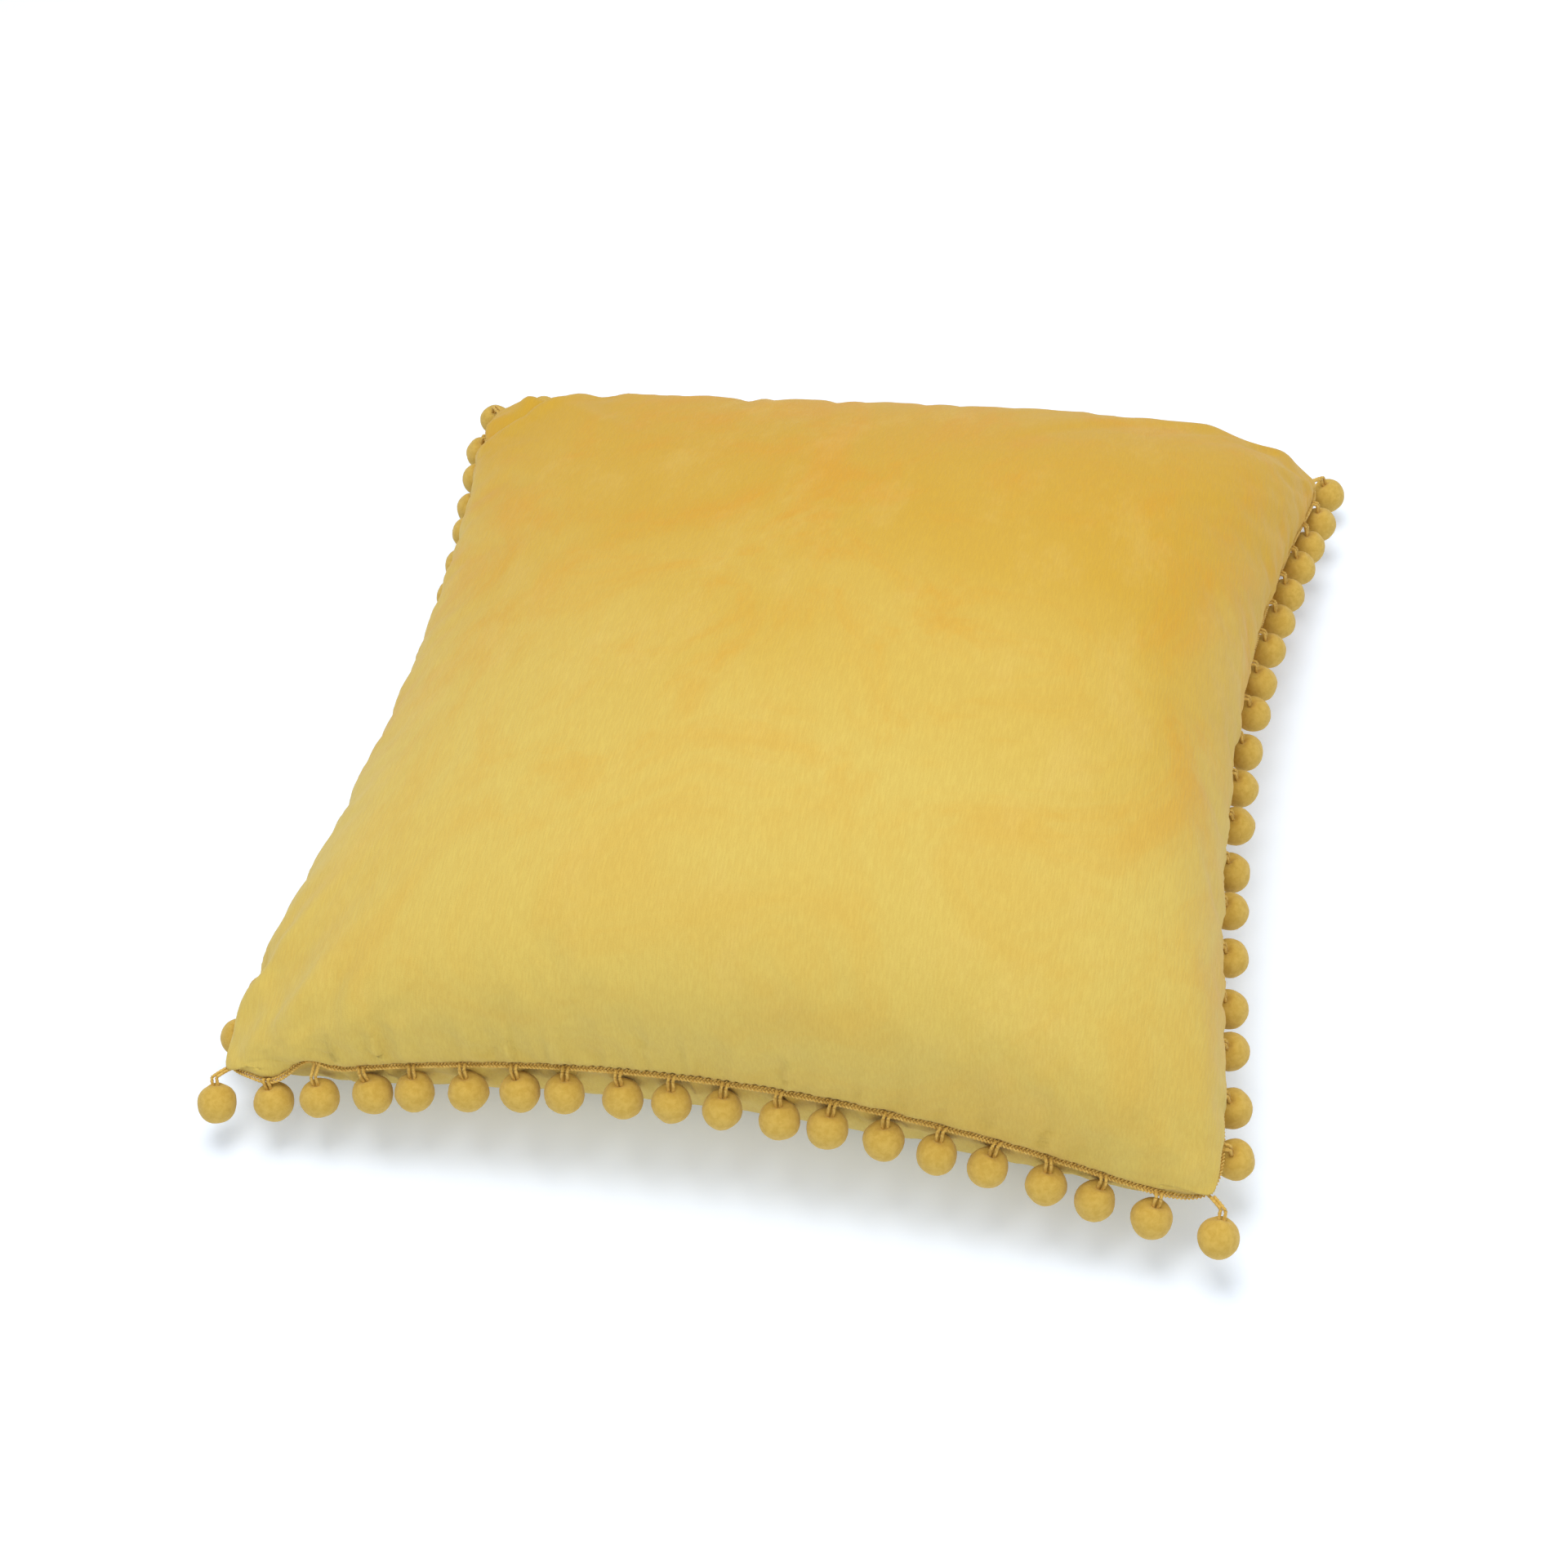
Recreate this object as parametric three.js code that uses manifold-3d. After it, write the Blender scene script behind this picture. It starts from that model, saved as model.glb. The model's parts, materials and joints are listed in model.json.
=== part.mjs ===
// A square velvet throw pillow with a pompom fringe, lying on its back panel. Millimetres, +Z up.
// X runs along the front edge and Y goes to the back edge, where the zip is.
// Every layer is made from one seam outline: four edges that run between the four corner tips.
import * as THREE from 'three';
import { mergeVertices } from 'three/addons/utils/BufferGeometryUtils.js';
import Module from 'manifold-3d';

const wasm = await Module();
wasm.setup();

// ---- Driving dimensions ----

// Corner tips of the filled cover. A 450 mm square cover draws in to about 430 mm when it is stuffed.
const CORNERS = {
  frontLeft: new THREE.Vector3(-206, -214, 29),
  frontRight: new THREE.Vector3(205, -212, 33),
  backRight: new THREE.Vector3(215, 213, 26),
  backLeft: new THREE.Vector3(-213, 212, 28),
};
const HALF_WIDTH = 215;
const CORNER_BULGE = 4;        // how far each edge starts outside the straight line between its tips
const CORNER_BULGE_POWER = 16; // how close to the tip that rounding happens

// Each edge: how far its middle is drawn in, the height of its seam there, how square its bow is,
// and how far below level its pompoms hang.
const EDGES = {
  front: { from: 'frontLeft', to: 'frontRight', pull: 15.5, height: 56, bow: 2, droop: 74 },
  right: { from: 'frontRight', to: 'backRight', pull: 25, height: 55, bow: 2, droop: 78 },
  back: { from: 'backRight', to: 'backLeft', pull: 14, height: 43, bow: 8, droop: 62 },
  left: { from: 'backLeft', to: 'frontLeft', pull: 29, height: 37, bow: 2, droop: 79 },
};

const CROWN = 69;              // rise of the top panel above the seam sheet at the centre
const TOP_ROUNDNESS = 0.25;    // lower is boxier
const LEAN_RIGHT = 0.29;       // share by which the filling stands higher towards +X
const LEAN_FRONT = 0.29;       // and towards -Y
const FLOOR_FULLNESS = 0.95;   // fullness at which the back panel reaches the floor
const BELLY_SQUARENESS = 10;   // keeps the back panel's walls straight along most of each edge
const BELLY_POWER = 1.9;       // how quickly the back panel drops from the seam

const INSET_POWER = 7;         // odd; an inner layer is drawn in near the edges more than the middle
const GRID = 14;               // cells along each edge of a panel
const CLOTH = 1.3;             // velvet and its backing
const LAYER_GAP = 0.3;         // clearance between pieces that touch

const FLANGE_THICKNESS = 0.9;  // tape of the braid, sandwiched between the two panels
const FLANGE_WIDTH = 10;
const MITRE = 0.6;             // width of the tape per millimetre from the tip, where two edges meet
const MITRE_GAP = 0.2;         // taken off that width, so that the two tapes stay apart
const BRAID_RADIUS = 1.3;
const BRAID_SIDES = 6;         // flats around the cord, without the neck that joins it to the tape

const CASE_INSET = 13;         // edge of the inner case inside the edge of the cover
const CASE_CLEARANCE = 3;      // inner case below the top panel, and above the back panel
const CASE_CLOTH = 0.8;
const FILL_CLEARANCE = 0.5;

const POMPOMS_PER_EDGE = 18;   // between the corner pompoms
const POMPOMS_PER_RUN = 3;
const POMPOM_RADIUS = 8.25;
const POMPOM_HALF_LENGTH = 8.5;
const POMPOM_RINGS = 4;        // from pole to loop
const POMPOM_SIDES = 7;
const DIMPLE_ANGLE = 18;       // degrees of the ball, from its near pole, that the loop's dimple takes
const LOOP_LENGTH = 11;        // hinge line to pompom centre
const LOOP_RADIUS = 0.8;
const HEADER_RADIUS = 0.7;     // yarn that carries the loops of one run
const HEADER_OVERHANG = 0.42;  // beyond its outer pompoms, in spacings
const SIDE_LEAN = 7;           // most degrees that a pompom leans along the edge
const LEAN_STEP = 2.4;         // radians of the leans' wave from one pompom to the next
const LEAN_START = 0.8;
const CORNER_REACH = 4.2;      // corner tip to the hinge of its pompom
const CORNER_HEADER = 2.4;
const CORNER_POMPOMS = {
  frontLeft: { heading: 278, droop: 48 },
  frontRight: { heading: 258, droop: 45 },
  backRight: { heading: -30, droop: 70 },
  backLeft: { heading: 110, droop: 80 },
};

const ZIP_ROWS = [1, 2];        // rows of the back panel, counted from its back edge, beside the zip
const ZIP_SINK = 2.3;          // outer face of the tapes below the outer face of the panel
const TAPE = { length: 320, width: 11.3, thickness: 0.6 };
const SLIT = { length: 310, width: 9, depth: 12 };
const COIL = { length: 301, width: 1.75, thickness: 1.5 };
const COIL_SPLIT = 0.3;        // between the two coils, and between the two tapes
const STOP = { length: 3, width: 4, thickness: 1.5 };
const SLIDER = { length: 9, width: 6.8, plate: 1.2, wall: 1.2 };
const SLIDER_START = 145.5;    // the zip is closed at its +X end
const EYE = { radius: 1, width: 1.2, height: 1.5, sides: 12 };
const PULLER = {
  length: 17, width: 5.4, thickness: 1.2, arm: 1.1, slot: 1.9, slotEnd: 2.4, shoulder: 2, steps: 8,
};

const LABEL = { width: 30, height: 13, thickness: 0.4, x: 120, inset: 6.5 };

// ---- Materials ----

const velvet = () => new THREE.MeshStandardMaterial({ color: 0xdfb656, roughness: 0.9 });
const braid = () => new THREE.MeshStandardMaterial({ color: 0xd0a94a, roughness: 0.8 });
const felt = () => new THREE.MeshStandardMaterial({ color: 0xc7a444, roughness: 1 });
const cotton = () => new THREE.MeshStandardMaterial({ color: 0xf1efe8, roughness: 0.9 });
const fibre = () => new THREE.MeshStandardMaterial({ color: 0xfafafa, roughness: 1 });
const tapeCloth = () => new THREE.MeshStandardMaterial({ color: 0xcfa64a, roughness: 0.85 });
const nylon = () => new THREE.MeshStandardMaterial({ color: 0xc89d3c, roughness: 0.45 });
const brass = () => new THREE.MeshStandardMaterial({ color: 0xb9923e, roughness: 0.35, metalness: 1 });
const ribbon = () => new THREE.MeshStandardMaterial({ color: 0xf6f4ee, roughness: 0.6 });

// ---- Seam outline ----

const UP = new THREE.Vector3(0, 0, 1);

// One edge of the seam, from tip to tip, counter-clockwise seen from above.
class EdgeSeam extends THREE.Curve {
  constructor(edge) {
    super();
    this.edge = edge;
    this.start = CORNERS[edge.from];
    this.end = CORNERS[edge.to];
    const along = this.end.clone().sub(this.start).setZ(0).normalize();
    this.outward = along.cross(UP);
  }

  getPoint(t, target = new THREE.Vector3()) {
    const s = Math.abs(2 * t - 1);
    const bow = 1 - s ** this.edge.bow;
    const offset = CORNER_BULGE * (1 - s ** CORNER_BULGE_POWER) - this.edge.pull * bow;
    target.lerpVectors(this.start, this.end, t).addScaledVector(this.outward, offset);
    target.z += (this.edge.height - target.z) * bow;
    return target;
  }
}

const seams = {};
for (const [name, edge] of Object.entries(EDGES)) {
  seams[name] = new EdgeSeam(edge);
}

// Evenly spaced angles put the grid's rows closer together towards the seam.
const gridCoordinate = (i) => Math.sin((Math.PI / 2) * ((2 * i) / GRID - 1));

// The sheet that the four edges span, for a and b from 0 to 1.
function seamSheet(a, b) {
  const p = new THREE.Vector3();
  p.addScaledVector(seams.front.getPoint(a), 1 - b);
  p.addScaledVector(seams.back.getPoint(1 - a), b);
  p.addScaledVector(seams.left.getPoint(1 - b), 1 - a);
  p.addScaledVector(seams.right.getPoint(b), a);
  p.addScaledVector(CORNERS.frontLeft, -(1 - a) * (1 - b));
  p.addScaledVector(CORNERS.frontRight, -a * (1 - b));
  p.addScaledVector(CORNERS.backRight, -a * b);
  p.addScaledVector(CORNERS.backLeft, -(1 - a) * b);
  return p;
}

// The same sheet seen from one edge: t runs along that edge and depth inwards, both from 0 to 1.
const sheetFrom = {
  front: (t, depth) => seamSheet(t, depth),
  right: (t, depth) => seamSheet(1 - depth, t),
  back: (t, depth) => seamSheet(1 - t, 1 - depth),
  left: (t, depth) => seamSheet(depth, 1 - t),
};

// A point of a layer, for u and v from -1 to 1. The inset draws its edge in, the clearance is kept
// to the top and to the floor, and the rim is the height of its edge above or below the seam sheet.
function layerPoint(u, v, { upper, inset = 0, clearance = 0, rim }) {
  const drawnIn = (w) => w - (inset / HALF_WIDTH) * w ** INSET_POWER;
  const p = seamSheet((drawnIn(u) + 1) / 2, (drawnIn(v) + 1) / 2);
  if (upper) {
    const fullness = (1 - u * u) * (1 - v * v);
    const lean = 1 + LEAN_RIGHT * u - LEAN_FRONT * v;
    p.z += rim + (CROWN - clearance) * lean * fullness ** TOP_ROUNDNESS;
  } else {
    const fullness = (1 - u ** BELLY_SQUARENESS) * (1 - v ** BELLY_SQUARENESS);
    const drop = Math.max(0, 1 - fullness / FLOOR_FULLNESS) ** BELLY_POWER;
    p.z = clearance + (p.z - rim - clearance) * drop;
  }
  return p;
}

// ---- Mesh helpers ----

// A closed geometry from two sheets of grid points that share an outline or are joined by a rim.
function closedSheets(above, below) {
  const row = GRID + 1;
  const positions = [];
  for (const layer of [above, below]) {
    for (let j = 0; j < row; j += 1) {
      for (let i = 0; i < row; i += 1) {
        positions.push(...layerPoint(gridCoordinate(i), gridCoordinate(j), layer).toArray());
      }
    }
  }
  const index = [];
  const quad = (a, b, c, d) => index.push(a, b, c, a, c, d);
  const under = row * row;
  for (let j = 0; j < GRID; j += 1) {
    for (let i = 0; i < GRID; i += 1) {
      const k = j * row + i;
      quad(k, k + 1, k + row + 1, k + row);
      quad(under + k, under + k + row, under + k + row + 1, under + k + 1);
    }
  }
  const rim = [];
  const corners = [0, GRID, row * row - 1, GRID * row];
  const steps = [1, row, -1, -row];
  corners.forEach((corner, side) => {
    for (let i = 0; i < GRID; i += 1) {
      rim.push(corner + i * steps[side]);
    }
  });
  rim.forEach((k, n) => {
    const next = rim[(n + 1) % rim.length];
    quad(under + k, under + next, next, k);
  });
  const geometry = new THREE.BufferGeometry();
  geometry.setAttribute('position', new THREE.Float32BufferAttribute(positions, 3));
  geometry.setIndex(index);
  return mergeVertices(geometry, 1e-4);
}

// A closed geometry from equal loops of points, one after another along a piece.
function loft(loops) {
  const size = loops[0].length;
  const index = [];
  for (let j = 0; j < loops.length - 1; j += 1) {
    for (let i = 0; i < size; i += 1) {
      const a = j * size + i;
      const b = j * size + ((i + 1) % size);
      index.push(a, a + size, b, b, a + size, b + size);
    }
  }
  const last = (loops.length - 1) * size;
  const outline = THREE.ShapeUtils.triangulateShape(loops[0].map((p) => p.section), []);
  for (const [a, b, c] of outline) {
    index.push(a, b, c, last + a, last + c, last + b);
  }
  const geometry = new THREE.BufferGeometry();
  const positions = loops.flat().flatMap((p) => p.place.toArray());
  geometry.setAttribute('position', new THREE.Float32BufferAttribute(positions, 3));
  geometry.setIndex(index);
  return geometry;
}

function toManifold(geometry, matrix = new THREE.Matrix4()) {
  const bare = geometry.clone().applyMatrix4(matrix);
  bare.deleteAttribute('normal');
  bare.deleteAttribute('uv');
  const merged = mergeVertices(bare, 1e-4);
  const triangles = [];
  for (let i = 0; i < merged.index.count; i += 3) {
    const [a, b, c] = merged.index.array.slice(i, i + 3);
    if (a !== b && b !== c && c !== a) {
      triangles.push(a, b, c);
    }
  }
  return new wasm.Manifold(new wasm.Mesh({
    numProp: 3,
    vertProperties: new Float32Array(merged.attributes.position.array),
    triVerts: new Uint32Array(triangles),
  }));
}

function fromManifold(solid) {
  const { vertProperties, triVerts } = solid.getMesh();
  const geometry = new THREE.BufferGeometry();
  geometry.setAttribute('position', new THREE.BufferAttribute(vertProperties, 3));
  geometry.setIndex(new THREE.BufferAttribute(triVerts, 1));
  return geometry;
}

function piece(name, geometry, material) {
  const mesh = new THREE.Mesh(geometry, material);
  mesh.name = name;
  return mesh;
}

const box = (length, width, height, x = 0, y = 0, z = 0) => (
  new THREE.BoxGeometry(length, width, height).translate(x, y, z)
);

// ---- Zip ----

const RIM = FLANGE_THICKNESS / 2 + 2 * LAYER_GAP;
const topSkin = { upper: true, rim: RIM };
const topLining = { upper: true, rim: RIM, inset: CLOTH, clearance: CLOTH };
const backSkin = { upper: false, rim: RIM };
const backLining = { upper: false, rim: RIM, inset: CLOTH, clearance: CLOTH };

// The zip's own frame: x along it, y up the back panel towards the seam, z out of the panel.
function zipFrame() {
  const [upper, lower] = ZIP_ROWS.map((j) => layerPoint(0, gridCoordinate(GRID - j), backSkin));
  const across = upper.clone().sub(lower).normalize();
  const outward = new THREE.Vector3(-1, 0, 0).cross(across);
  const centre = upper.add(lower).multiplyScalar(0.5);
  const basis = new THREE.Matrix4().makeBasis(new THREE.Vector3(-1, 0, 0), across, outward);
  return basis.setPosition(centre.setX(0));
}

const zipMatrix = zipFrame();

function backPanelGeometry() {
  const panel = toManifold(closedSheets(backLining, backSkin));
  const slit = toManifold(box(SLIT.length, SLIT.width, SLIT.depth), zipMatrix);
  return fromManifold(panel.subtract(slit));
}

// Walls of the slider pass either side of the coils, and its eye carries the puller.
function sliderGeometry() {
  const top = -ZIP_SINK + LAYER_GAP + COIL.thickness + LAYER_GAP + SLIDER.plate;
  const foot = -ZIP_SINK + LAYER_GAP;
  const half = SLIDER.width / 2;
  const inner = half - SLIDER.wall;
  const section = new THREE.Shape([
    new THREE.Vector2(-half, foot),
    new THREE.Vector2(-inner, foot),
    new THREE.Vector2(-inner, top - SLIDER.plate),
    new THREE.Vector2(inner, top - SLIDER.plate),
    new THREE.Vector2(inner, foot),
    new THREE.Vector2(half, foot),
    new THREE.Vector2(half, top),
    new THREE.Vector2(-half, top),
  ]);
  const body = new THREE.ExtrudeGeometry(section, { depth: SLIDER.length, bevelEnabled: false });
  body.translate(0, 0, -SLIDER.length / 2);
  body.applyMatrix4(new THREE.Matrix4().makeBasis(
    new THREE.Vector3(0, 1, 0), new THREE.Vector3(0, 0, 1), new THREE.Vector3(1, 0, 0),
  ));
  const eye = new THREE.CylinderGeometry(EYE.radius, EYE.radius, EYE.width, EYE.sides);
  const stalk = box(2 * EYE.radius, EYE.width, EYE.height, 0, 0, -EYE.height / 2);
  const raise = new THREE.Matrix4().makeTranslation(0, 0, top + EYE.height);
  const solid = toManifold(body)
    .add(toManifold(eye, raise))
    .add(toManifold(stalk, raise));
  return { geometry: fromManifold(solid), eyeHeight: top + EYE.height };
}

// A flat tab whose two arms straddle the eye. Its hinge is at its own origin.
function pullerGeometry() {
  const half = PULLER.width / 2;
  const slot = PULLER.slot / 2;
  const armEnd = -PULLER.thickness / 2;
  const armWidth = slot + PULLER.arm;
  const shoulderEnd = PULLER.slotEnd + PULLER.shoulder;
  const outline = new THREE.Shape([
    new THREE.Vector2(armEnd, -armWidth),
    new THREE.Vector2(PULLER.slotEnd, -armWidth),
    new THREE.Vector2(shoulderEnd, -half),
  ]);
  outline.absarc(PULLER.length - half, 0, half, -Math.PI / 2, Math.PI / 2);
  outline.lineTo(shoulderEnd, half);
  outline.lineTo(PULLER.slotEnd, armWidth);
  outline.lineTo(armEnd, armWidth);
  outline.lineTo(armEnd, slot);
  outline.lineTo(PULLER.slotEnd, slot);
  outline.lineTo(PULLER.slotEnd, -slot);
  outline.lineTo(armEnd, -slot);
  const tab = new THREE.ExtrudeGeometry(outline, {
    depth: PULLER.thickness, bevelEnabled: false, curveSegments: PULLER.steps,
  });
  return tab.translate(0, 0, -PULLER.thickness / 2);
}

function zip() {
  const group = new THREE.Group();
  zipMatrix.decompose(group.position, group.quaternion, group.scale);
  const tapeLevel = -ZIP_SINK - TAPE.thickness / 2;
  const coilLevel = -ZIP_SINK + LAYER_GAP + COIL.thickness / 2;
  for (const [side, sign] of [['upper', 1], ['lower', -1]]) {
    const tapeMiddle = sign * (COIL_SPLIT / 2 + TAPE.width / 2);
    const coilMiddle = sign * (COIL_SPLIT / 2 + COIL.width / 2);
    const tape = box(TAPE.length, TAPE.width, TAPE.thickness, 0, tapeMiddle, tapeLevel);
    const coil = box(COIL.length, COIL.width, COIL.thickness, 0, coilMiddle, coilLevel);
    group.add(piece(`zip_tape_${side}`, tape, tapeCloth()));
    group.add(piece(`zip_coil_${side}`, coil, nylon()));
  }
  const stopReach = COIL.length / 2 + LAYER_GAP + STOP.length / 2;
  for (const [end, sign] of [['top', -1], ['bottom', 1]]) {
    const stop = box(STOP.length, STOP.width, STOP.thickness, sign * stopReach, 0, coilLevel);
    group.add(piece(`zip_${end}_stop`, stop, brass()));
  }
  const { geometry, eyeHeight } = sliderGeometry();
  const slider = piece('zip_slider', geometry, brass());
  slider.position.x = -SLIDER_START;
  const puller = piece('zip_puller', pullerGeometry(), brass());
  puller.position.set(-SLIDER_START, 0, eyeHeight);
  group.add(slider, puller);
  return group;
}

// ---- Braid and pompoms ----

// The braid's tape lies between the panels, and its cord stands just outside the seam.
// The tape narrows towards each tip, so that the tapes of two edges meet in a mitre.
function braidGeometry(edgeName, seam) {
  const half = FLANGE_THICKNESS / 2;
  const neck = Math.asin(half / BRAID_RADIUS);
  const loops = [];
  for (let i = 0; i <= GRID; i += 1) {
    const t = (gridCoordinate(i) + 1) / 2;
    const place = seam.getPoint(t);
    const fromTip = Math.min(place.distanceTo(seam.start), place.distanceTo(seam.end));
    const reach = Math.min(FLANGE_WIDTH, MITRE * fromTip - MITRE_GAP);
    const rise = sheetFrom[edgeName](t, reach / (2 * HALF_WIDTH)).z - place.z;
    const section = [new THREE.Vector2(-reach, half), new THREE.Vector2(-reach, -half)];
    for (let k = 0; k <= BRAID_SIDES; k += 1) {
      const angle = -Math.PI + neck + (2 * (Math.PI - neck) * k) / BRAID_SIDES;
      section.push(new THREE.Vector2(
        LAYER_GAP + BRAID_RADIUS + BRAID_RADIUS * Math.cos(angle),
        BRAID_RADIUS * Math.sin(angle),
      ));
    }
    loops.push(section.map((p) => {
      const height = p.y + (p.x < 0 ? rise : 0);
      const at = place.clone().addScaledVector(seam.outward, p.x).addScaledVector(UP, height);
      return { section: p, place: at };
    }));
  }
  return loft(loops);
}

// One pompom on its loop, hanging along -Y from the hinge line.
function pompomSolid() {
  const ballEnd = THREE.MathUtils.degToRad(180 - DIMPLE_ANGLE);
  const profile = [new THREE.Vector2(0, -LOOP_LENGTH - POMPOM_HALF_LENGTH)];
  for (let k = 1; k <= POMPOM_RINGS; k += 1) {
    const angle = (ballEnd * k) / POMPOM_RINGS;
    profile.push(new THREE.Vector2(
      POMPOM_RADIUS * Math.sin(angle),
      -LOOP_LENGTH - POMPOM_HALF_LENGTH * Math.cos(angle),
    ));
  }
  profile.push(new THREE.Vector2(LOOP_RADIUS, -LOOP_LENGTH + POMPOM_HALF_LENGTH));
  profile.push(new THREE.Vector2(LOOP_RADIUS, 0));
  profile.push(new THREE.Vector2(0, 0));
  return new THREE.LatheGeometry(profile, POMPOM_SIDES);
}

const pompomGeometry = pompomSolid();

// Some pompoms joined by the header yarn that they hang from. The hinge line is the X axis of the
// run's own frame, with +Y towards the pillow, and the pompoms lean a little along it.
function runGeometry(places, headerLength, droop, firstIndex) {
  const header = new THREE.CylinderGeometry(HEADER_RADIUS, HEADER_RADIUS, headerLength, 6);
  let solid = toManifold(header.rotateZ(Math.PI / 2));
  places.forEach((x, k) => {
    const wave = Math.sin(LEAN_STEP * (firstIndex + k) + LEAN_START);
    const lean = THREE.MathUtils.degToRad(SIDE_LEAN * wave);
    const matrix = new THREE.Matrix4().makeTranslation(x, 0, 0)
      .multiply(new THREE.Matrix4().makeRotationX(-THREE.MathUtils.degToRad(90 - droop)))
      .multiply(new THREE.Matrix4().makeRotationX(Math.PI / 2))
      .multiply(new THREE.Matrix4().makeRotationZ(lean));
    solid = solid.add(toManifold(pompomGeometry, matrix));
  });
  return fromManifold(solid);
}

// The run's frame: origin on the hinge line, x along the edge, y towards the pillow, z up.
function placeRun(mesh, origin, along) {
  const inward = UP.clone().cross(along).normalize();
  const up = along.clone().cross(inward);
  mesh.quaternion.setFromRotationMatrix(new THREE.Matrix4().makeBasis(along, inward, up));
  mesh.position.copy(origin);
}

function edgeRuns(edgeName, seam) {
  const group = new THREE.Group();
  const spacings = POMPOMS_PER_EDGE + 1;
  const runs = POMPOMS_PER_EDGE / POMPOMS_PER_RUN;
  for (let run = 0; run < runs; run += 1) {
    const first = run * POMPOMS_PER_RUN + 1;
    const last = first + POMPOMS_PER_RUN - 1;
    const start = seam.getPointAt((first - HEADER_OVERHANG) / spacings);
    const end = seam.getPointAt((last + HEADER_OVERHANG) / spacings);
    const along = end.clone().sub(start).normalize();
    const outward = along.clone().cross(UP).normalize();
    const middle = start.clone().add(end).multiplyScalar(0.5);
    const places = [];
    let seamReach = 0;
    for (let k = first; k <= last; k += 1) {
      const offset = seam.getPointAt(k / spacings).sub(middle);
      places.push(offset.dot(along));
      seamReach = Math.max(seamReach, offset.dot(outward));
    }
    const standOff = LAYER_GAP + 2 * BRAID_RADIUS + LAYER_GAP + HEADER_RADIUS;
    middle.addScaledVector(outward, seamReach + standOff + LAYER_GAP);
    const length = start.distanceTo(end);
    const geometry = runGeometry(places, length, seam.edge.droop, first);
    const mesh = piece(`pompom_run_${edgeName}_${run + 1}`, geometry, felt());
    placeRun(mesh, middle, along);
    group.add(mesh);
  }
  return group;
}

function cornerPompom(cornerName, { heading, droop }) {
  const tip = CORNERS[cornerName];
  const outward = new THREE.Vector3(Math.sign(tip.x), Math.sign(tip.y), 0).normalize();
  const angle = THREE.MathUtils.degToRad(heading + 90);
  const along = new THREE.Vector3(Math.cos(angle), Math.sin(angle), 0);
  const name = cornerName.replace(/[A-Z]/, (letter) => `_${letter.toLowerCase()}`);
  const geometry = runGeometry([0], CORNER_HEADER, droop, 0);
  const mesh = piece(`pompom_corner_${name}`, geometry, felt());
  placeRun(mesh, tip.clone().addScaledVector(outward, CORNER_REACH), along);
  return mesh;
}

// ---- Insert and label ----

function insert() {
  const group = new THREE.Group();
  const outer = { inset: CASE_INSET, clearance: CASE_CLEARANCE, rim: LAYER_GAP };
  const inner = {
    inset: CASE_INSET + CASE_CLOTH, clearance: CASE_CLEARANCE + CASE_CLOTH, rim: LAYER_GAP,
  };
  const fill = {
    inset: inner.inset + FILL_CLEARANCE, clearance: inner.clearance + FILL_CLEARANCE, rim: 0,
  };
  const upperCase = closedSheets({ upper: true, ...outer }, { upper: true, ...inner });
  const lowerCase = closedSheets({ upper: false, ...inner }, { upper: false, ...outer });
  const wadding = closedSheets({ upper: true, ...fill }, { upper: false, ...fill });
  group.add(piece('inner_case_top', upperCase, cotton()));
  group.add(piece('inner_case_bottom', lowerCase, cotton()));
  group.add(piece('fibre_fill', wadding, fibre()));
  return group;
}

// A blank folded label, standing on the braid's tape inside the back edge.
function careLabel() {
  const t = 0.5 - LABEL.x / (2 * HALF_WIDTH);
  const mesh = piece('care_label', box(LABEL.width, LABEL.thickness, LABEL.height), ribbon());
  mesh.position.copy(sheetFrom.back(t, LABEL.inset / (2 * HALF_WIDTH)));
  mesh.position.z += RIM + LAYER_GAP + LABEL.height / 2;
  return mesh;
}

// ---- Pillow ----

const pillow = new THREE.Group();
pillow.add(piece('cover_top_panel', closedSheets(topSkin, topLining), velvet()));
pillow.add(piece('cover_back_panel', backPanelGeometry(), velvet()));
pillow.add(insert(), zip(), careLabel());
for (const [name, seam] of Object.entries(seams)) {
  pillow.add(piece(`braid_${name}`, braidGeometry(name, seam), braid()));
  pillow.add(edgeRuns(name, seam));
}
for (const [name, pompom] of Object.entries(CORNER_POMPOMS)) {
  pillow.add(cornerPompom(name, pompom));
}

// The origin is on the floor, under the middle of everything.
pillow.updateMatrixWorld(true);
const extent = new THREE.Box3().setFromObject(pillow, true);
const middle = extent.getCenter(new THREE.Vector3());
pillow.position.set(-middle.x, -middle.y, -extent.min.z);

export default pillow;
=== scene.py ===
"""A velvet throw pillow with a pompom fringe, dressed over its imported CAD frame. Metres, +Z up."""

import json
import math

import bmesh
import bpy
import numpy as np
from mathutils import Matrix, Vector, kdtree
from mathutils.bvhtree import BVHTree


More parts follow.
